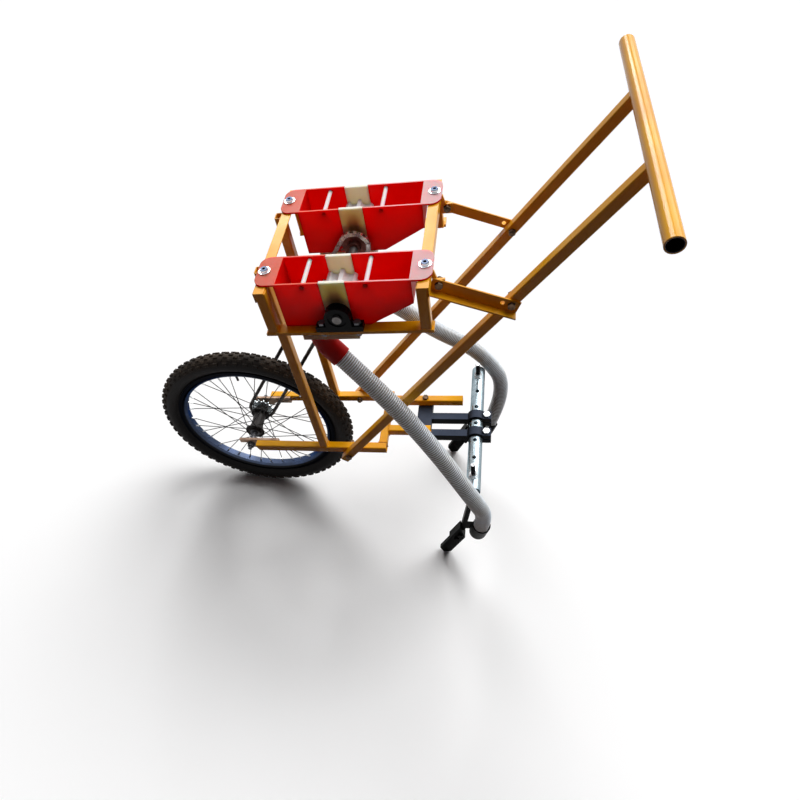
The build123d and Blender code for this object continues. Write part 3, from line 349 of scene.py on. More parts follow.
def plated_steel(name, bright, dull, rough, cloud_scale, recess=0.0, screws=()):
    """Bare or plated metal with cloudy patches and fine lines, darker where it turns away.

    Recesses narrower than recess are painted dark as shade. The heads round the upright lines through the
    points of screws are painted dark blue as a reflection of a dark ceiling.
    """
    material, wire, place = start_finish(name)
    clouds = wire.noise(place, cloud_scale, detail=4.0).between(0.35, 0.70)
    lines = wire.noise(place, scale=900.0, detail=2.0)
    colour = wire.mix(clouds, bright, dull)
    # The screw heads are painted dark blue as a reflection of a dark ceiling.
    for screw in screws:
        across = wire.add("ShaderNodeVectorMath", {"operation": "SUBTRACT"}, {0: place, 1: tuple(screw)})
        across = wire.add("ShaderNodeVectorMath", {"operation": "CROSS_PRODUCT"}, {0: across, 1: tuple(UP)})
        across = wire.add("ShaderNodeVectorMath", {"operation": "LENGTH"}, {0: across}, "Value")
        head = across.between(HEAD_RADIUS + HEAD_EDGE, HEAD_RADIUS - HEAD_EDGE)
        colour = wire.mix(head, colour, HEAD_REFLECTION_BLUE)
    # Recesses are painted dark as shade.
    if recess:
        colour = wire.mix(openness(wire, recess).between(0.75, 0.30), colour, RECESS_SHADE)
    return end_finish(material, {
        "Base Color": colour,
        "Metallic": 1.0,
        "Specular Tint": EDGE_TINT,
        "Roughness": clouds * 0.12 + lines * 0.10 + rough,
        "Normal": wire.bump(lines, strength=0.06, distance=0.0003),
    })


zinc = plated_steel(
    "zinc_plating", bright=(0.78, 0.81, 0.83), dull=(0.52, 0.55, 0.57),
    rough=0.18, cloud_scale=90.0, recess=RECESS,
)
dress(zinc, ["clamp_bolts"])
dark_headed = plated_steel(
    "zinc_screws_with_painted_dark_heads", bright=(0.84, 0.86, 0.88), dull=(0.58, 0.60, 0.62),
    rough=0.16, cloud_scale=90.0, recess=RECESS, screws=SCREWS,
)
dress(dark_headed, ["hopper_screws"])
browned = plated_steel(
    "browned_zinc", bright=(0.11, 0.07, 0.045), dull=(0.05, 0.033, 0.02), rough=0.34, cloud_scale=120.0,
)
dress(browned, ["frame_bolts"])
flat_bar = plated_steel(
    "bare_flat_bar", bright=(0.34, 0.24, 0.18), dull=(0.16, 0.10, 0.07), rough=0.40, cloud_scale=60.0,
)
dress(flat_bar, ["axle_dropouts"])
dim_zinc = plated_steel(
    "dim_zinc", bright=(0.13, 0.13, 0.14), dull=(0.06, 0.06, 0.065),
    rough=0.32, cloud_scale=120.0, recess=RECESS,
)
dress(dim_zinc, ["pillow_bolts", "axle_nuts", "axle", "hub_bearings"])

# Tyre: a moulded rubber casing with rows of tread knobs, smooth side walls and raised rings.
# The knobs are greyed by dry soil, most of all on their tops.
RUBBER = (0.006, 0.005, 0.005)
DRY_SOIL = (0.130, 0.098, 0.072)
TREAD_CENTRE = 0.2345
CASING_RADIUS = 0.0224
CASING_WALL = 0.0030
CASING_STEPS = 40
LINING_STEPS = 24
BEAD_FOOT = 0.2060
BEAD_OUTER = 0.0120
BEAD_INNER = 0.0085
TYRE_TURNS = 200
RINGED_SIDE = (0.236, 0.240)
SOILED_TREAD = (0.238, 0.256)
KNOB_COUNT = 62
KNOB_TOP = 0.0255
KNOB_DRAFT = 0.22
KNOB_ROUND = 0.0006
KNOB_ROWS = [
    {"Row angle": math.radians(angle), "Phase": phase, "Length": length, "Width": width}
    for angle, phase, length, width in (
        (9.5, 0.0, 0.0125, 0.0075), (-9.5, 0.5, 0.0125, 0.0075),
        (31.0, 0.5, 0.0110, 0.0080), (-31.0, 0.0, 0.0110, 0.0080),
        (56.0, 0.0, 0.0140, 0.0085), (-56.0, 0.5, 0.0140, 0.0085),
    )
]


def vector(wire, **parts):
    """A vector with the given X, Y and Z, or 0 where one isn't given."""
    return wire.add("ShaderNodeCombineXYZ", {}, parts)


def part_of(wire, place, axis):
    """The X, Y or Z of a vector."""
    return wire.add("ShaderNodeSeparateXYZ", {}, {"Vector": place}, axis)


rubber, wire, place = start_finish("dusty_tyre_rubber")
reach = reach_from(wire, place, WHEEL)
soil = wire.noise(place, scale=8.0, detail=6.0).between(0.44, 0.62)
crumbs = wire.noise(place, scale=240.0).between(0.45, 0.65)
dusty = reach.between(*SOILED_TREAD) * (soil * 0.85 + 0.10) * (crumbs * 0.6 + 0.4)
grain = wire.noise(place, scale=700.0, detail=2.0)
rings = wire.add(
    "ShaderNodeTexWave", {"wave_type": "BANDS", "bands_direction": "X"},
    {"Vector": vector(wire, X=reach), "Scale": 130.0}, "Fac",
)
side_only = 1 - reach.between(*RINGED_SIDE)
end_finish(rubber, {
    "Base Color": wire.mix(dusty, RUBBER, DRY_SOIL),
    "Roughness": dusty * 0.25 + 0.58,
    "Specular IOR Level": 0.10,
    "Normal": wire.bump(grain * 0.3 + rings * side_only * 0.5, strength=0.5, distance=0.0006),
})


def turned(name, profile, turns):
    """A closed ring made by turning a closed profile of (reach, side) points about the wheel's axle."""
    mesh = bpy.data.meshes.new(name)
    shape = bmesh.new()
    rows = []
    for turn in range(turns):
        angle = 2 * math.pi * turn / turns
        rows.append([
            shape.verts.new(WHEEL + Vector((reach * math.sin(angle), side, reach * math.cos(angle))))
            for reach, side in profile
        ])
    for here, there in zip(rows, rows[1:] + rows[:1]):
        for i in range(len(profile)):
            j = (i + 1) % len(profile)
            shape.faces.new((here[i], here[j], there[j], there[i]))
    bmesh.ops.recalc_face_normals(shape, faces=shape.faces)
    shape.to_mesh(mesh)
    shape.free()
    mesh.shade_smooth()
    return mesh


def arc(radius, start, end, steps):
    """Points on the tyre's round section, with angles from its outermost line."""
    angles = [math.radians(start + (end - start) * step / steps) for step in range(steps + 1)]
    return [(TREAD_CENTRE + radius * math.cos(angle), radius * math.sin(angle)) for angle in angles]


lining_radius = CASING_RADIUS - CASING_WALL
outer_turn = 180 - math.degrees(math.asin(BEAD_OUTER / CASING_RADIUS))
inner_turn = 180 - math.degrees(math.asin(BEAD_INNER / lining_radius))
casing_profile = [
    (BEAD_FOOT, -BEAD_OUTER),
    *arc(CASING_RADIUS, -outer_turn, outer_turn, CASING_STEPS),
    (BEAD_FOOT, BEAD_OUTER),
    (BEAD_FOOT, BEAD_INNER),
    *arc(lining_radius, inner_turn, -inner_turn, LINING_STEPS),
    (BEAD_FOOT, -BEAD_INNER),
]
casing = new_object("tyre_casing", turned("tyre_casing", casing_profile, TYRE_TURNS))
casing.data.materials.append(rubber)
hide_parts("tyre")
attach(casing, "wheel")


def joined(wire, *shapes):
    """Several shapes of a geometry tree as one."""
    node = wire.tree.nodes.new("GeometryNodeJoinGeometry")
    for shape in shapes:
        wire.join(node.inputs["Geometry"], shape)
    return Wire(wire.tree, node.outputs[0])


tree, wire, given = grow_tree("tread_row", {
    "Knobs": "Int", "Length": "Float", "Width": "Float", "Height": "Float",
    "Casing": "Float", "Centre": "Float", "Row angle": "Float", "Phase": "Float",
})
size = vector(wire, X=given["Length"], Y=given["Width"], Z=given["Height"])
knob = wire.add("GeometryNodeMeshCube", {}, {"Size": size})
place = wire.add("GeometryNodeInputPosition", {}, {})
draft = wire.sum("GREATER_THAN", part_of(wire, place, "Z")) * -KNOB_DRAFT
taper = vector(wire, X=draft, Y=draft)
shift = wire.add("ShaderNodeVectorMath", {"operation": "MULTIPLY"}, {0: place, 1: taper})
knob = wire.add("GeometryNodeSetPosition", {}, {"Geometry": knob, "Offset": shift})
lift = vector(wire, Z=given["Casing"])
knob = wire.add("GeometryNodeTransform", {}, {"Geometry": knob, "Translation": lift})
tilt = vector(wire, X=given["Row angle"] * -1.0)
lift = vector(wire, Z=given["Centre"])
knob = wire.add("GeometryNodeTransform", {}, {"Geometry": knob, "Translation": lift, "Rotation": tilt})
points = wire.add("GeometryNodePoints", {}, {"Count": given["Knobs"], "Position": tuple(WHEEL)})
index = wire.add("GeometryNodeInputIndex", {}, {})
step = wire.sum("DIVIDE", 2 * math.pi, given["Knobs"])
turn = vector(wire, Y=(index + given["Phase"]) * step)
row = wire.add("GeometryNodeInstanceOnPoints", {}, {"Points": points, "Instance": knob, "Rotation": turn})
end_tree(wire, joined(wire, row, given["Geometry"]), rubber)
knob_height = KNOB_TOP - CASING_RADIUS + CASING_WALL
for row_sizes in KNOB_ROWS:
    row_sizes.update({
        "Knobs": KNOB_COUNT, "Height": knob_height,
        "Casing": KNOB_TOP - knob_height / 2, "Centre": TREAD_CENTRE,
    })
tread_base = new_object("tread_base", bpy.data.meshes.new("tread_base"))
knobs = grown("tyre_knobs", tread_base, tree, KNOB_ROWS)
rounding = knobs.modifiers.new("rounded_edges", "BEVEL")
rounding.width = KNOB_ROUND
rounding.segments = 1
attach(knobs, "wheel")

# Inner tube, rim, spokes and hub: a butyl tube on an extruded alloy rim with black walls, its bed painted
# bluish as a reflection of the sky.
# Dark drawn spokes with plated nipples run from it to a turned hub shell, which is painted black.
SKY_REFLECTION_BLUE = (0.058, 0.082, 0.155)
BED_GREY = (0.040, 0.047, 0.062)
WALL_BLACK = (0.010, 0.010, 0.011)
RIM_WALLS = (0.1965, 0.1990)
butyl, wire, place = start_finish("inner_tube_butyl")
bloom = wire.noise(place, scale=60.0)
end_finish(butyl, {
    "Base Color": wire.mix(bloom, (0.012, 0.012, 0.012), (0.05, 0.05, 0.05)),
    "Roughness": 0.6,
})
dress(butyl, ["inner_tube"])
rim_finish, wire, place = start_finish("rim_alloy_with_painted_sky_reflection")
film = wire.noise(place, scale=12.0, detail=4.0).between(0.35, 0.70)
# The rim's bed is painted bluish as a reflection of the sky.
bed = wire.mix(film, SKY_REFLECTION_BLUE, BED_GREY)
walls = reach_from(wire, place, WHEEL).between(*RIM_WALLS)
end_finish(rim_finish, {
    "Base Color": wire.mix(walls, bed, WALL_BLACK),
    "Metallic": 1.0,
    "Specular Tint": (0.25, 0.28, 0.34),
    "Roughness": film * 0.15 + 0.26,
})
dress(rim_finish, ["rim"])
black_wire = sprayed_paint(
    "black_wire", fresh=(0.008, 0.008, 0.008), dull=(0.014, 0.013, 0.012), under=(0.10, 0.09, 0.08),
    rough=0.35, wear=2.0, gloss=0.10,
)
dress(black_wire, ["spokes"])
machined = plated_steel(
    "machined_steel", bright=(0.72, 0.73, 0.74), dull=(0.52, 0.52, 0.52), rough=0.18, cloud_scale=70.0,
)
dress(machined, ["spoke_nipples"])
hub_black = sprayed_paint(
    "hub_black", fresh=(0.020, 0.018, 0.018), dull=(0.045, 0.040, 0.038), under=(0.20, 0.19, 0.18),
    rough=0.30, wear=3.0, gloss=0.15,
)
dress(hub_black, ["hub_shell"])

# Chain and sprockets: blanked steel, a bright plated wheel sprocket and a dark one on the shaft.
# Oil holds dust along the chain, most of all near the wheel. The links at the shaft are painted bright as a
# highlight and hold less grease, and the recesses between links are painted dark as shade.
OILY_STEEL = (0.10, 0.085, 0.075)
HIGHLIGHT_STEEL = (0.86, 0.85, 0.84)
GREASE_AND_SHADE = (0.008, 0.007, 0.006)
HIGHLIT_LINKS = (0.80, 0.86)
oily, wire, place = start_finish("oily_chain_steel_with_painted_light")
# The links at the shaft are painted bright as a highlight.
highlit = part_of(wire, place, "Z").between(*HIGHLIT_LINKS)
grease = wire.noise(place, scale=120.0, detail=4.0).between(0.42, 0.58) * (1 - highlit * 0.6)
# The recesses between the links are painted dark as shade.
link_shade = openness(wire, RECESS).between(0.85, 0.40)
end_finish(oily, {
    "Base Color": wire.mix(
        (grease * 0.7 + link_shade).between(0.0, 1.0), wire.mix(highlit, OILY_STEEL, HIGHLIGHT_STEEL), GREASE_AND_SHADE,
    ),
    "Metallic": highlit * 0.6 + 0.3 - grease * 0.2,
    "Roughness": grease * 0.18 + 0.20,
    "Normal": wire.bump(wire.noise(place, scale=600.0), strength=0.15, distance=0.0004),
})
dress(oily, ["drive_chain"])
bright_plate = plated_steel(
    "bright_sprocket_plate", bright=(0.86, 0.94, 0.97), dull=(0.60, 0.68, 0.72),
    rough=0.30, cloud_scale=110.0,
)
dress(bright_plate, ["freewheel_sprocket"])
dark_plate = plated_steel(
    "dark_sprocket_plate", bright=(0.150, 0.060, 0.050), dull=(0.070, 0.030, 0.025),
    rough=0.30, cloud_scale=110.0,
)
dress(dark_plate, ["shaft_sprocket"])

# Metering shaft and foot bearings: a dull drawn rod in cast housings with turned collars, enamelled black.
# The casting's skin shows as a fine pebbled texture under the enamel.
drawn_rod = plated_steel(
    "dull_drawn_rod", bright=(0.13, 0.12, 0.12), dull=(0.07, 0.065, 0.06), rough=0.36, cloud_scale=70.0,
)
dress(drawn_rod, ["metering_shaft"])
cast, wire, place = start_finish("black_cast_housing")
pebbles = wire.noise(place, scale=260.0, detail=4.0)
scuffs = wire.noise(place, scale=40.0, detail=5.0).between(0.55, 0.75)
end_finish(cast, {
    "Base Color": wire.mix(scuffs, (0.003, 0.003, 0.004), (0.008, 0.008, 0.010)),
    "Roughness": scuffs * 0.15 + 0.24,
    "Specular IOR Level": 0.05,
    "Normal": wire.bump(pebbles, strength=0.25, distance=0.0008),
})
dress(cast, ["pillow_blocks", "shaft_collars", "shaft_bearings"])

# Hoppers and spouts: red plastic printed in level layers, with tabs screwed down on the top bars.
# The upward faces of the tabs and rims are painted salmon pink as a reflection of the sky, most of all at
# the rear.
RED = (0.82, 0.003, 0.002)
DEEP_RED = (0.70, 0.003, 0.002)
SHEEN_RED = (0.70, 0.125, 0.075)
REAR_SHEEN_PINK = (0.86, 0.42, 0.43)
LAYER = 0.0006
FORWARD = STANCE.to_3x3() @ Vector((1, 0, 0))
TAB_FACES = (0.868, 0.872)
REAR_SHEEN_RUN = (-0.20, -0.24)


def layered_plastic(name, build):
    """Printed plastic: its colours come from build, and fine level layer lines from its height."""
    material, wire, place = start_finish(name)
    height = dot(wire, place, tuple(UP))
    lines = wire.sum("SINE", height * (2 * math.pi / LAYER))
    sockets = {
        "Normal": wire.bump(lines, strength=0.05, distance=0.0002),
        "Roughness": wire.noise(place, scale=50.0) * 0.14 + 0.34,
        "Specular IOR Level": 0.08,
        "Subsurface Weight": 0.85,
        "Subsurface Scale": 0.015,
        **build(wire, place, height),
    }
    return end_finish(material, sockets)


def red_with_painted_sheen(wire, place, height):
    """Red with a painted pale reflection of the sky on the faces that look up from the level of the tabs.
    """
    # The up-facing faces at the tabs' level are painted pale as a reflection of the sky.
    sky = facing_up(wire).between(0.7, 0.95) * height.between(*TAB_FACES)
    mottle = wire.noise(place, scale=22.0, detail=4.0).between(0.3, 0.7)
    red = wire.mix(mottle, RED, DEEP_RED)
    to_rear = dot(wire, place, tuple(FORWARD)).between(*REAR_SHEEN_RUN)
    to_rear = to_rear + wire.noise(place, scale=30.0) * 0.2 - 0.1
    pale = wire.mix(to_rear.between(0.0, 1.0), SHEEN_RED, REAR_SHEEN_PINK)
    return {"Base Color": wire.mix(sky * 0.95, red, pale), "Subsurface Radius": (1.0, 0.06, 0.04)}


hopper_red = layered_plastic("red_plastic_with_painted_sheen", red_with_painted_sheen)
dress(hopper_red, ["left_hopper", "right_hopper", "left_spout", "right_spout"])

# Metering housings, metering wheels and tie rods: natural plastic printed in layers.
# The housings' outer faces are painted honey-coloured in the middle as shade from the dark wheel behind,
# and the rods' heads are red like the hoppers.
CREAM = (0.80, 0.83, 0.70)
HONEY_SHADE = (0.36, 0.28, 0.12)
ROD_HEAD_RED = (0.70, 0.004, 0.003)
SHAFT = Vector((-0.02574, 0, 0.83722))
RIM_RISE = 0.8895
SHADE_RUN = (0.0240, 0.0060)
SHADE_DEPTH = (0.004, 0.045)
OUTER_FACE = (0.0380, 0.0390)
ROD_WALLS = (0.0685, 0.1465)
ROD_EDGE = 0.0005


def natural_cream(wire, place, height):
    """Cream with honey-coloured painted shade below the rim of the cheeks' outer faces, next to the shaft.
    """
    from_shaft = wire.sum("ABSOLUTE", dot(wire, place, tuple(FORWARD)) - SHAFT.dot(FORWARD))
    side = wire.sum("ABSOLUTE", part_of(wire, place, "Y"))
    outside = wire.sum("ABSOLUTE", side - HOPPER_MIDDLE).between(*OUTER_FACE)
    below = height.between(RIM_RISE - SHADE_DEPTH[0], RIM_RISE - SHADE_DEPTH[1])
    # The middle of the outer faces is painted honey-coloured as shade from the dark wheel behind.
    shaded_middle = from_shaft.between(*SHADE_RUN) * below * outside
    cloud = wire.noise(place, scale=35.0) * 0.2 - 0.1
    return {
        "Base Color": wire.mix((shaded_middle + cloud).between(0.0, 1.0), CREAM, HONEY_SHADE),
        "Subsurface Weight": 0.9,
        "Subsurface Radius": (1.0, 0.85, 0.60),
        "Subsurface Scale": 0.012,
    }


def natural_white(wire, place, height):
    """Plain white that hardly lets light through."""
    return {
        "Base Color": wire.mix(wire.noise(place, scale=45.0), (0.94, 0.94, 0.95), (0.86, 0.86, 0.88)),
        "Subsurface Weight": 0.3,
        "Subsurface Radius": (1.0, 1.0, 1.0),
        "Subsurface Scale": 0.004,
    }


def red_headed_rod(wire, place, height):
    """A pale rod between the hopper's walls, with a red head outside each."""
    side = wire.sum("ABSOLUTE", part_of(wire, place, "Y"))
    inner_head = side.between(ROD_WALLS[0], ROD_WALLS[0] - ROD_EDGE)
    outer_head = side.between(ROD_WALLS[1], ROD_WALLS[1] + ROD_EDGE)
    rod = wire.mix(wire.noise(place, scale=45.0), (0.88, 0.78, 0.80), (0.78, 0.66, 0.68))
    return {"Base Color": wire.mix(inner_head + outer_head, rod, ROD_HEAD_RED)}


cream = layered_plastic("natural_cream_plastic", natural_cream)
dress(cream, ["left_metering_housing", "right_metering_housing"])
white = layered_plastic("natural_white_plastic", natural_white)
dress(white, ["left_metering_wheel", "right_metering_wheel"])
dress(layered_plastic("red_headed_rod", red_headed_rod), ["tie_rods"])

# Seed hoses: clear corrugated plastic pipe, pushed into the spouts at the top and the boots below.
# Each hangs in its own curve round the toolbar's end. Its ribs' ridges are painted bright bluish as
# highlights, and the hollows between them dark, as dust and shade.
HOSE_RADIUS = 0.020
HOSE_GROOVE = 0.0186
HOSE_BORE = 0.0165
HOSE_SIDES = 28
RIB_PITCH = 0.005
RIB_STEPS = 6
RIB_FLANK = (0.15, 0.70)
LINE_STEPS = 40
HOSE_ROUTES = {
    "left_hose": (
        (-0.3120, 0.1032, 0.3745), (-0.4109, 0.1424, 0.2717), (-0.500, 0.179, 0.145),
        (-0.584, 0.221, 0.0), (-0.610, 0.186, -0.138), (-0.586, 0.160, -0.256),
    ),
    "right_hose": (
        (-0.3120, -0.1032, 0.3745), (-0.3909, -0.1345, 0.2925), (-0.471, -0.166, 0.170),
        (-0.588, -0.211, 0.042), (-0.664, -0.208, -0.115), (-0.586, -0.160, -0.256),
    ),
}

clear, wire, place = start_finish("clear_ribbed_plastic")
rib = wire.add("ShaderNodeAttribute", {"attribute_name": "rib"}, {}, "Fac")
haze = wire.noise(place, scale=14.0, detail=4.0).between(0.35, 0.70)
# The hollows between the ribs are painted dark as dust and shade, and the ridges bright bluish as
# highlights.
groove_dust_and_shade = wire.mix(haze, (0.13, 0.115, 0.085), (0.20, 0.19, 0.17))
crest_highlight = wire.mix(haze, (0.70, 0.74, 0.76), (0.70, 0.81, 0.94))
end_finish(clear, {
    "Base Color": wire.mix(rib.between(0.1, 0.9), groove_dust_and_shade, crest_highlight),
    "Roughness": haze * 0.12 + 0.22,
    "Subsurface Weight": 0.35,
    "Subsurface Radius": (1.0, 0.97, 0.90),
    "Subsurface Scale": 0.006,
    "Coat Weight": 0.4,
    "Coat Roughness": 0.12,
    "Normal": wire.bump(wire.noise(place, scale=420.0), strength=0.06, distance=0.0004),
})

tree, wire, given = grow_tree("ribbed_pipe", {
    "Pitch": "Float", "Groove": "Float", "Crest": "Float", "Bore": "Float",
})
line = wire.add(
    "GeometryNodeResampleCurve", {"mode": "LENGTH"},
    {"Curve": given["Geometry"], "Length": given["Pitch"] * (1 / RIB_STEPS)},
)
along = wire.add("GeometryNodeSplineParameter", {}, {}, "Length")
wave = wire.sum("COSINE", wire.sum("DIVIDE", along * (2 * math.pi), given["Pitch"])) * -0.5 + 0.5
wave = wave.between(*RIB_FLANK)
line = wire.add(
    "GeometryNodeStoreNamedAttribute", {"data_type": "FLOAT", "domain": "POINT"},
    {"Geometry": line, "Name": "rib", "Value": wave},
)
ring = wire.add(
    "GeometryNodeCurvePrimitiveCircle", {"mode": "RADIUS"}, {"Resolution": HOSE_SIDES, "Radius": 1.0},
)
radius = (given["Crest"] - given["Groove"]) * wave + given["Groove"]
skin = wire.add("GeometryNodeCurveToMesh", {}, {"Curve": line, "Profile Curve": ring, "Scale": radius})
bore = wire.add(
    "GeometryNodeCurveToMesh", {}, {"Curve": line, "Profile Curve": ring, "Scale": given["Bore"]},
)
bore = wire.add("GeometryNodeFlipFaces", {}, {"Mesh": bore})
end_tree(wire, joined(wire, skin, bore), clear)

for name, route in HOSE_ROUTES.items():
    curve = bpy.data.curves.new(name + "_line", "CURVE")
    curve.dimensions = "3D"
    curve.resolution_u = LINE_STEPS
    spline = curve.splines.new("NURBS")
    spline.points.add(len(route) - 1)
    for point, place in zip(spline.points, route):
        point.co = (*(STANCE @ Vector(place)), 1)
    spline.order_u = 3
    spline.use_endpoint_u = True
    line_object = new_object(name + "_line", curve)
    path = [vertex.co.copy() for vertex in bpy.data.meshes.new_from_object(line_object).vertices]
    sizes = {"Pitch": RIB_PITCH, "Groove": HOSE_GROOVE, "Crest": HOSE_RADIUS, "Bore": HOSE_BORE}
    hose = grown(name + "_pipe", line_object, tree, [sizes])
    shape = bmesh.new()
    shape.from_mesh(hose.data)
    for end in (path[0], path[-1]):
        rim = [e for e in shape.edges if e.is_boundary and (e.verts[0].co - end).length < 1.5 * HOSE_RADIUS]
        bmesh.ops.bridge_loops(shape, edges=rim)
    bmesh.ops.recalc_face_normals(shape, faces=shape.faces)
    shape.to_mesh(hose.data)
    shape.free()
    hose.data.shade_smooth()
    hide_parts(name)
    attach(hose, "frame")

# Hitch bracket, openers and boots: sawn bar and plate, welded, then brushed with black enamel.
# The bracket's top is painted bluish as a reflection of the sky, and the chisel points are scoured to grey
# near their tips.
ENAMEL_SKY_SHEEN = (0.060, 0.076, 0.115)
CHISEL_BLACK = (0.004, 0.004, 0.004)
SCOURED_GREY = (0.05, 0.045, 0.04)
SCOURED_HEIGHT = 0.05
STREAK_RUN = (6.0, 6.0, 1.0)
# Its tops get a painted bluish sheen of the sky.
black_enamel = sprayed_paint(
    "black_enamel", fresh=(0.004, 0.004, 0.005), dull=(0.008, 0.008, 0.010), under=(0.16, 0.15, 0.14),
    rough=0.28, wear=3.0, gloss=0.04, tops=ENAMEL_SKY_SHEEN,
)
dress(black_enamel, ["hitch_bracket"])
plain_black = sprayed_paint(
    "plain_black_enamel", fresh=(0.004, 0.004, 0.004), dull=(0.008, 0.008, 0.008), under=(0.10, 0.09, 0.08),
    rough=0.34, wear=3.0, gloss=0.02,
)
dress(plain_black, ["left_opener_leg", "right_opener_leg", "left_boot", "right_boot", "chisel_bolts"])
scoured, wire, place = start_finish("soil_scoured_chisel")
near_tip = 1 - part_of(wire, place, "Z").between(0.0, SCOURED_HEIGHT)
scrape = near_tip * wire.noise(place, scale=70.0, detail=4.0).between(0.35, 0.65)
drawn_out = wire.add("ShaderNodeMapping", {}, {"Vector": place, "Scale": STREAK_RUN})
streaks = wire.noise(drawn_out, scale=90.0)
end_finish(scoured, {
    "Base Color": wire.mix(scrape * 0.5, CHISEL_BLACK, SCOURED_GREY),
    "Specular IOR Level": 0.02,
    "Metallic": scrape * 0.3,
    "Roughness": 0.42 - scrape * 0.1,
    "Normal": wire.bump(streaks, strength=0.12, distance=0.0005),
})
dress(scoured, ["chisel_points"])

# Toolbar: hot-dip galvanised water pipe, drilled for the studs, with a faint crystal spangle.
# Its zinc is clouded in patches, and the holes are painted dark as shade.
PALE_ZINC = (0.44, 0.52, 0.56)
CLOUDED_ZINC = (0.24, 0.31, 0.35)
HOLE_DEPTH = 0.008
galvanised, wire, place = start_finish("galvanised_pipe")
spangle = wire.add("ShaderNodeTexVoronoi", {}, {"Vector": place, "Scale": 110.0}, "Color")
tone = part_of(wire, spangle, "X")
clouds = wire.noise(place, scale=28.0, detail=4.0).between(0.35, 0.70)
zinc_skin = wire.mix((tone * 0.5 + clouds * 0.5).between(0.0, 1.0), PALE_ZINC, CLOUDED_ZINC)
# The holes are painted dark as shade.
holes = openness(wire, HOLE_DEPTH).between(0.80, 0.45)
end_finish(galvanised, {
    "Base Color": wire.mix(holes, zinc_skin, RECESS_SHADE),
    "Metallic": 1.0,
    "Specular Tint": (0.30, 0.36, 0.38),
    "Roughness": tone * 0.10 + clouds * 0.10 + 0.20,
    "Normal": wire.bump(wire.noise(place, scale=300.0), strength=0.06, distance=0.0004),
})
dress(galvanised, ["toolbar"])

# Opener studs: black threaded rod with a bright washer and nut clamped on the toolbar.
# The rolled thread stands proud of the rod above each nut.
STUD_FOOT = (-0.5806, 0.156, 0.0150)
STUD_HEIGHT = 0.0345
STUD_RADIUS = 0.0049
STUD_SIDES = 24
THREAD_PITCH = 0.0015
THREAD_WIRE = 0.0005
THREAD_STEPS = 20
THREAD_SIDES = 6
THREAD_SUNK = 0.4
dress(zinc, ["opener_studs"])
tree, wire, given = grow_tree("stud_thread", {
    "Height": "Float", "Radius": "Float", "Pitch": "Float", "Wire": "Float",
})
spiral = wire.add("GeometryNodeCurveSpiral", {}, {
    "Resolution": THREAD_STEPS, "Rotations": wire.sum("DIVIDE", given["Height"], given["Pitch"]),
    "Start Radius": given["Radius"], "End Radius": given["Radius"], "Height": given["Height"],
})
section = wire.add(
    "GeometryNodeCurvePrimitiveCircle", {"mode": "RADIUS"},
    {"Resolution": THREAD_SIDES, "Radius": given["Wire"]},
)
thread = wire.add(
    "GeometryNodeCurveToMesh", {}, {"Curve": spiral, "Profile Curve": section, "Fill Caps": True},
)
core_radius = given["Radius"] + given["Wire"] * THREAD_SUNK
core = wire.add(
    "GeometryNodeMeshCylinder", {},
    {"Vertices": STUD_SIDES, "Radius": core_radius, "Depth": given["Height"]}, "Mesh",
)
lift = vector(wire, Z=given["Height"] * 0.5)
core = wire.add("GeometryNodeTransform", {}, {"Geometry": core, "Translation": lift})
stud = joined(wire, thread, core)
studs = wire.add("GeometryNodeInstanceOnPoints", {}, {"Points": given["Geometry"], "Instance": stud})
end_tree(wire, studs, black_enamel)
foot_x, foot_side, foot_rise = STUD_FOOT
foot_mesh = bpy.data.meshes.new("stud_feet")
foot_mesh.from_pydata([(foot_x, side * foot_side, foot_rise) for side in (1, -1)], [], [])
thread_sizes = {"Height": STUD_HEIGHT, "Radius": STUD_RADIUS, "Pitch": THREAD_PITCH, "Wire": THREAD_WIRE}
threads = grown("stud_threads", new_object("stud_feet", foot_mesh), tree, [thread_sizes])
threads.data.transform(STANCE)
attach(threads, "frame")

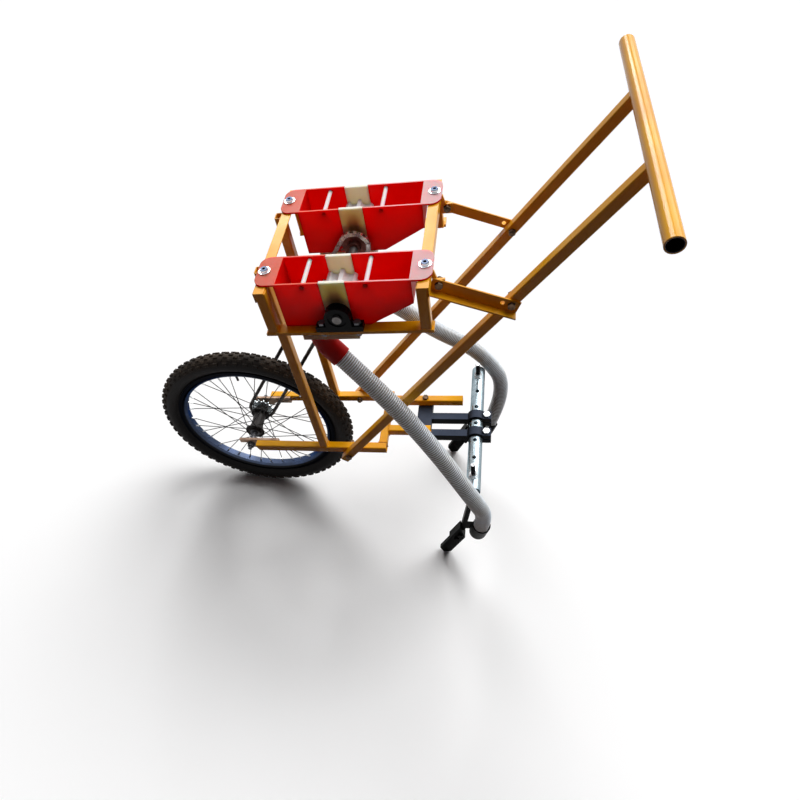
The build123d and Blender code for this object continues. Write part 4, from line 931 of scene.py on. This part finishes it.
# Stage: a wide pale floor under a plain white sky, with three broad lamps on the planter's far side.
# The camera stands where the photograph was taken, behind the planter and to its left.
FLOOR_HALF = 30.0
FLOOR_DROP = 0.0005
FLOOR_WHITE = (0.97, 0.97, 0.97)
FLOOR_BOUNCE = (0.060, 0.020, 0.008)
SKY_WHITE = (1.0, 1.0, 1.0)
SKY_GLOW = (0.030, 0.027, 0.029)
LAMPS = (
    {"name": "overhead", "power": 1.5, "place": (-0.30, -0.35, 0.88), "spread": 40},
    {"name": "window", "power": 1.7, "place": (0.31, -0.80, 0.50), "spread": 26},
    {"name": "doorway", "power": 1.6, "place": (-0.38, -0.66, 0.64), "spread": 50},
)
LENS_LENGTH = 28.31
SENSOR_WIDTH = 36.0
LENS_SHIFT = (0.0447, 0.0317)
CAMERA_PLACE = (-0.16986, 0.96957, 1.63231)
CAMERA_TURN = (36.2876, -1.4787, -171.8374)


def background_rays(wire):
    """1 for the rays that show the background: the camera's, and those in metal and glass."""
    camera_rays, glossy_rays, clear_rays = (
        wire.add("ShaderNodeLightPath", {}, {}, f"Is {kind} Ray")
        for kind in ("Camera", "Glossy", "Transmission")
    )
    return (camera_rays + glossy_rays + clear_rays).between(0.0, 1.0)


def sun_lamp(name, power, place, spread):
    """A lamp that shines evenly from a place towards the planter, spread over an angle in degrees."""
    lamp = bpy.data.lights.new(name, "SUN")
    lamp.energy = power
    lamp.angle = math.radians(spread)
    made = new_object(name, lamp)
    made.location = place
    made.rotation_euler = (-Vector(place)).to_track_quat("-Z", "Y").to_euler()
    made.visible_camera = False


floor_mesh = bpy.data.meshes.new("floor")
floor_corners = [
    (x * FLOOR_HALF, y * FLOOR_HALF, -FLOOR_DROP)
    for x, y in ((-1, -1), (1, -1), (1, 1), (-1, 1))
]
floor_mesh.from_pydata(floor_corners, [], [(0, 1, 2, 3)])
floor = new_object("floor", floor_mesh)
pale, wire, place = start_finish("pale_floor")
end_finish(pale, {
    "Base Color": wire.mix(background_rays(wire), FLOOR_BOUNCE, FLOOR_WHITE),
    "Roughness": 0.9,
    "Specular IOR Level": 0.0,
})
floor.data.materials.append(pale)

world = bpy.data.worlds.new("sky")
bpy.context.scene.world = world
world.use_nodes = True
wire = Wire(world.node_tree)
sky = wire.mix(background_rays(wire), SKY_GLOW, SKY_WHITE)
wire.join(world.node_tree.nodes["Background"].inputs["Color"], sky)
for lamp_sizes in LAMPS:
    sun_lamp(**lamp_sizes)

bpy.context.scene.view_settings.view_transform = "Standard"
lens = bpy.data.cameras.new("photo_camera")
lens.lens = LENS_LENGTH
lens.sensor_width = SENSOR_WIDTH
lens.shift_x, lens.shift_y = LENS_SHIFT
camera = new_object("photo_camera", lens)
camera.location = CAMERA_PLACE
camera.rotation_euler = [math.radians(angle) for angle in CAMERA_TURN]
bpy.context.scene.camera = camera

bpy.context.view_layer.update()
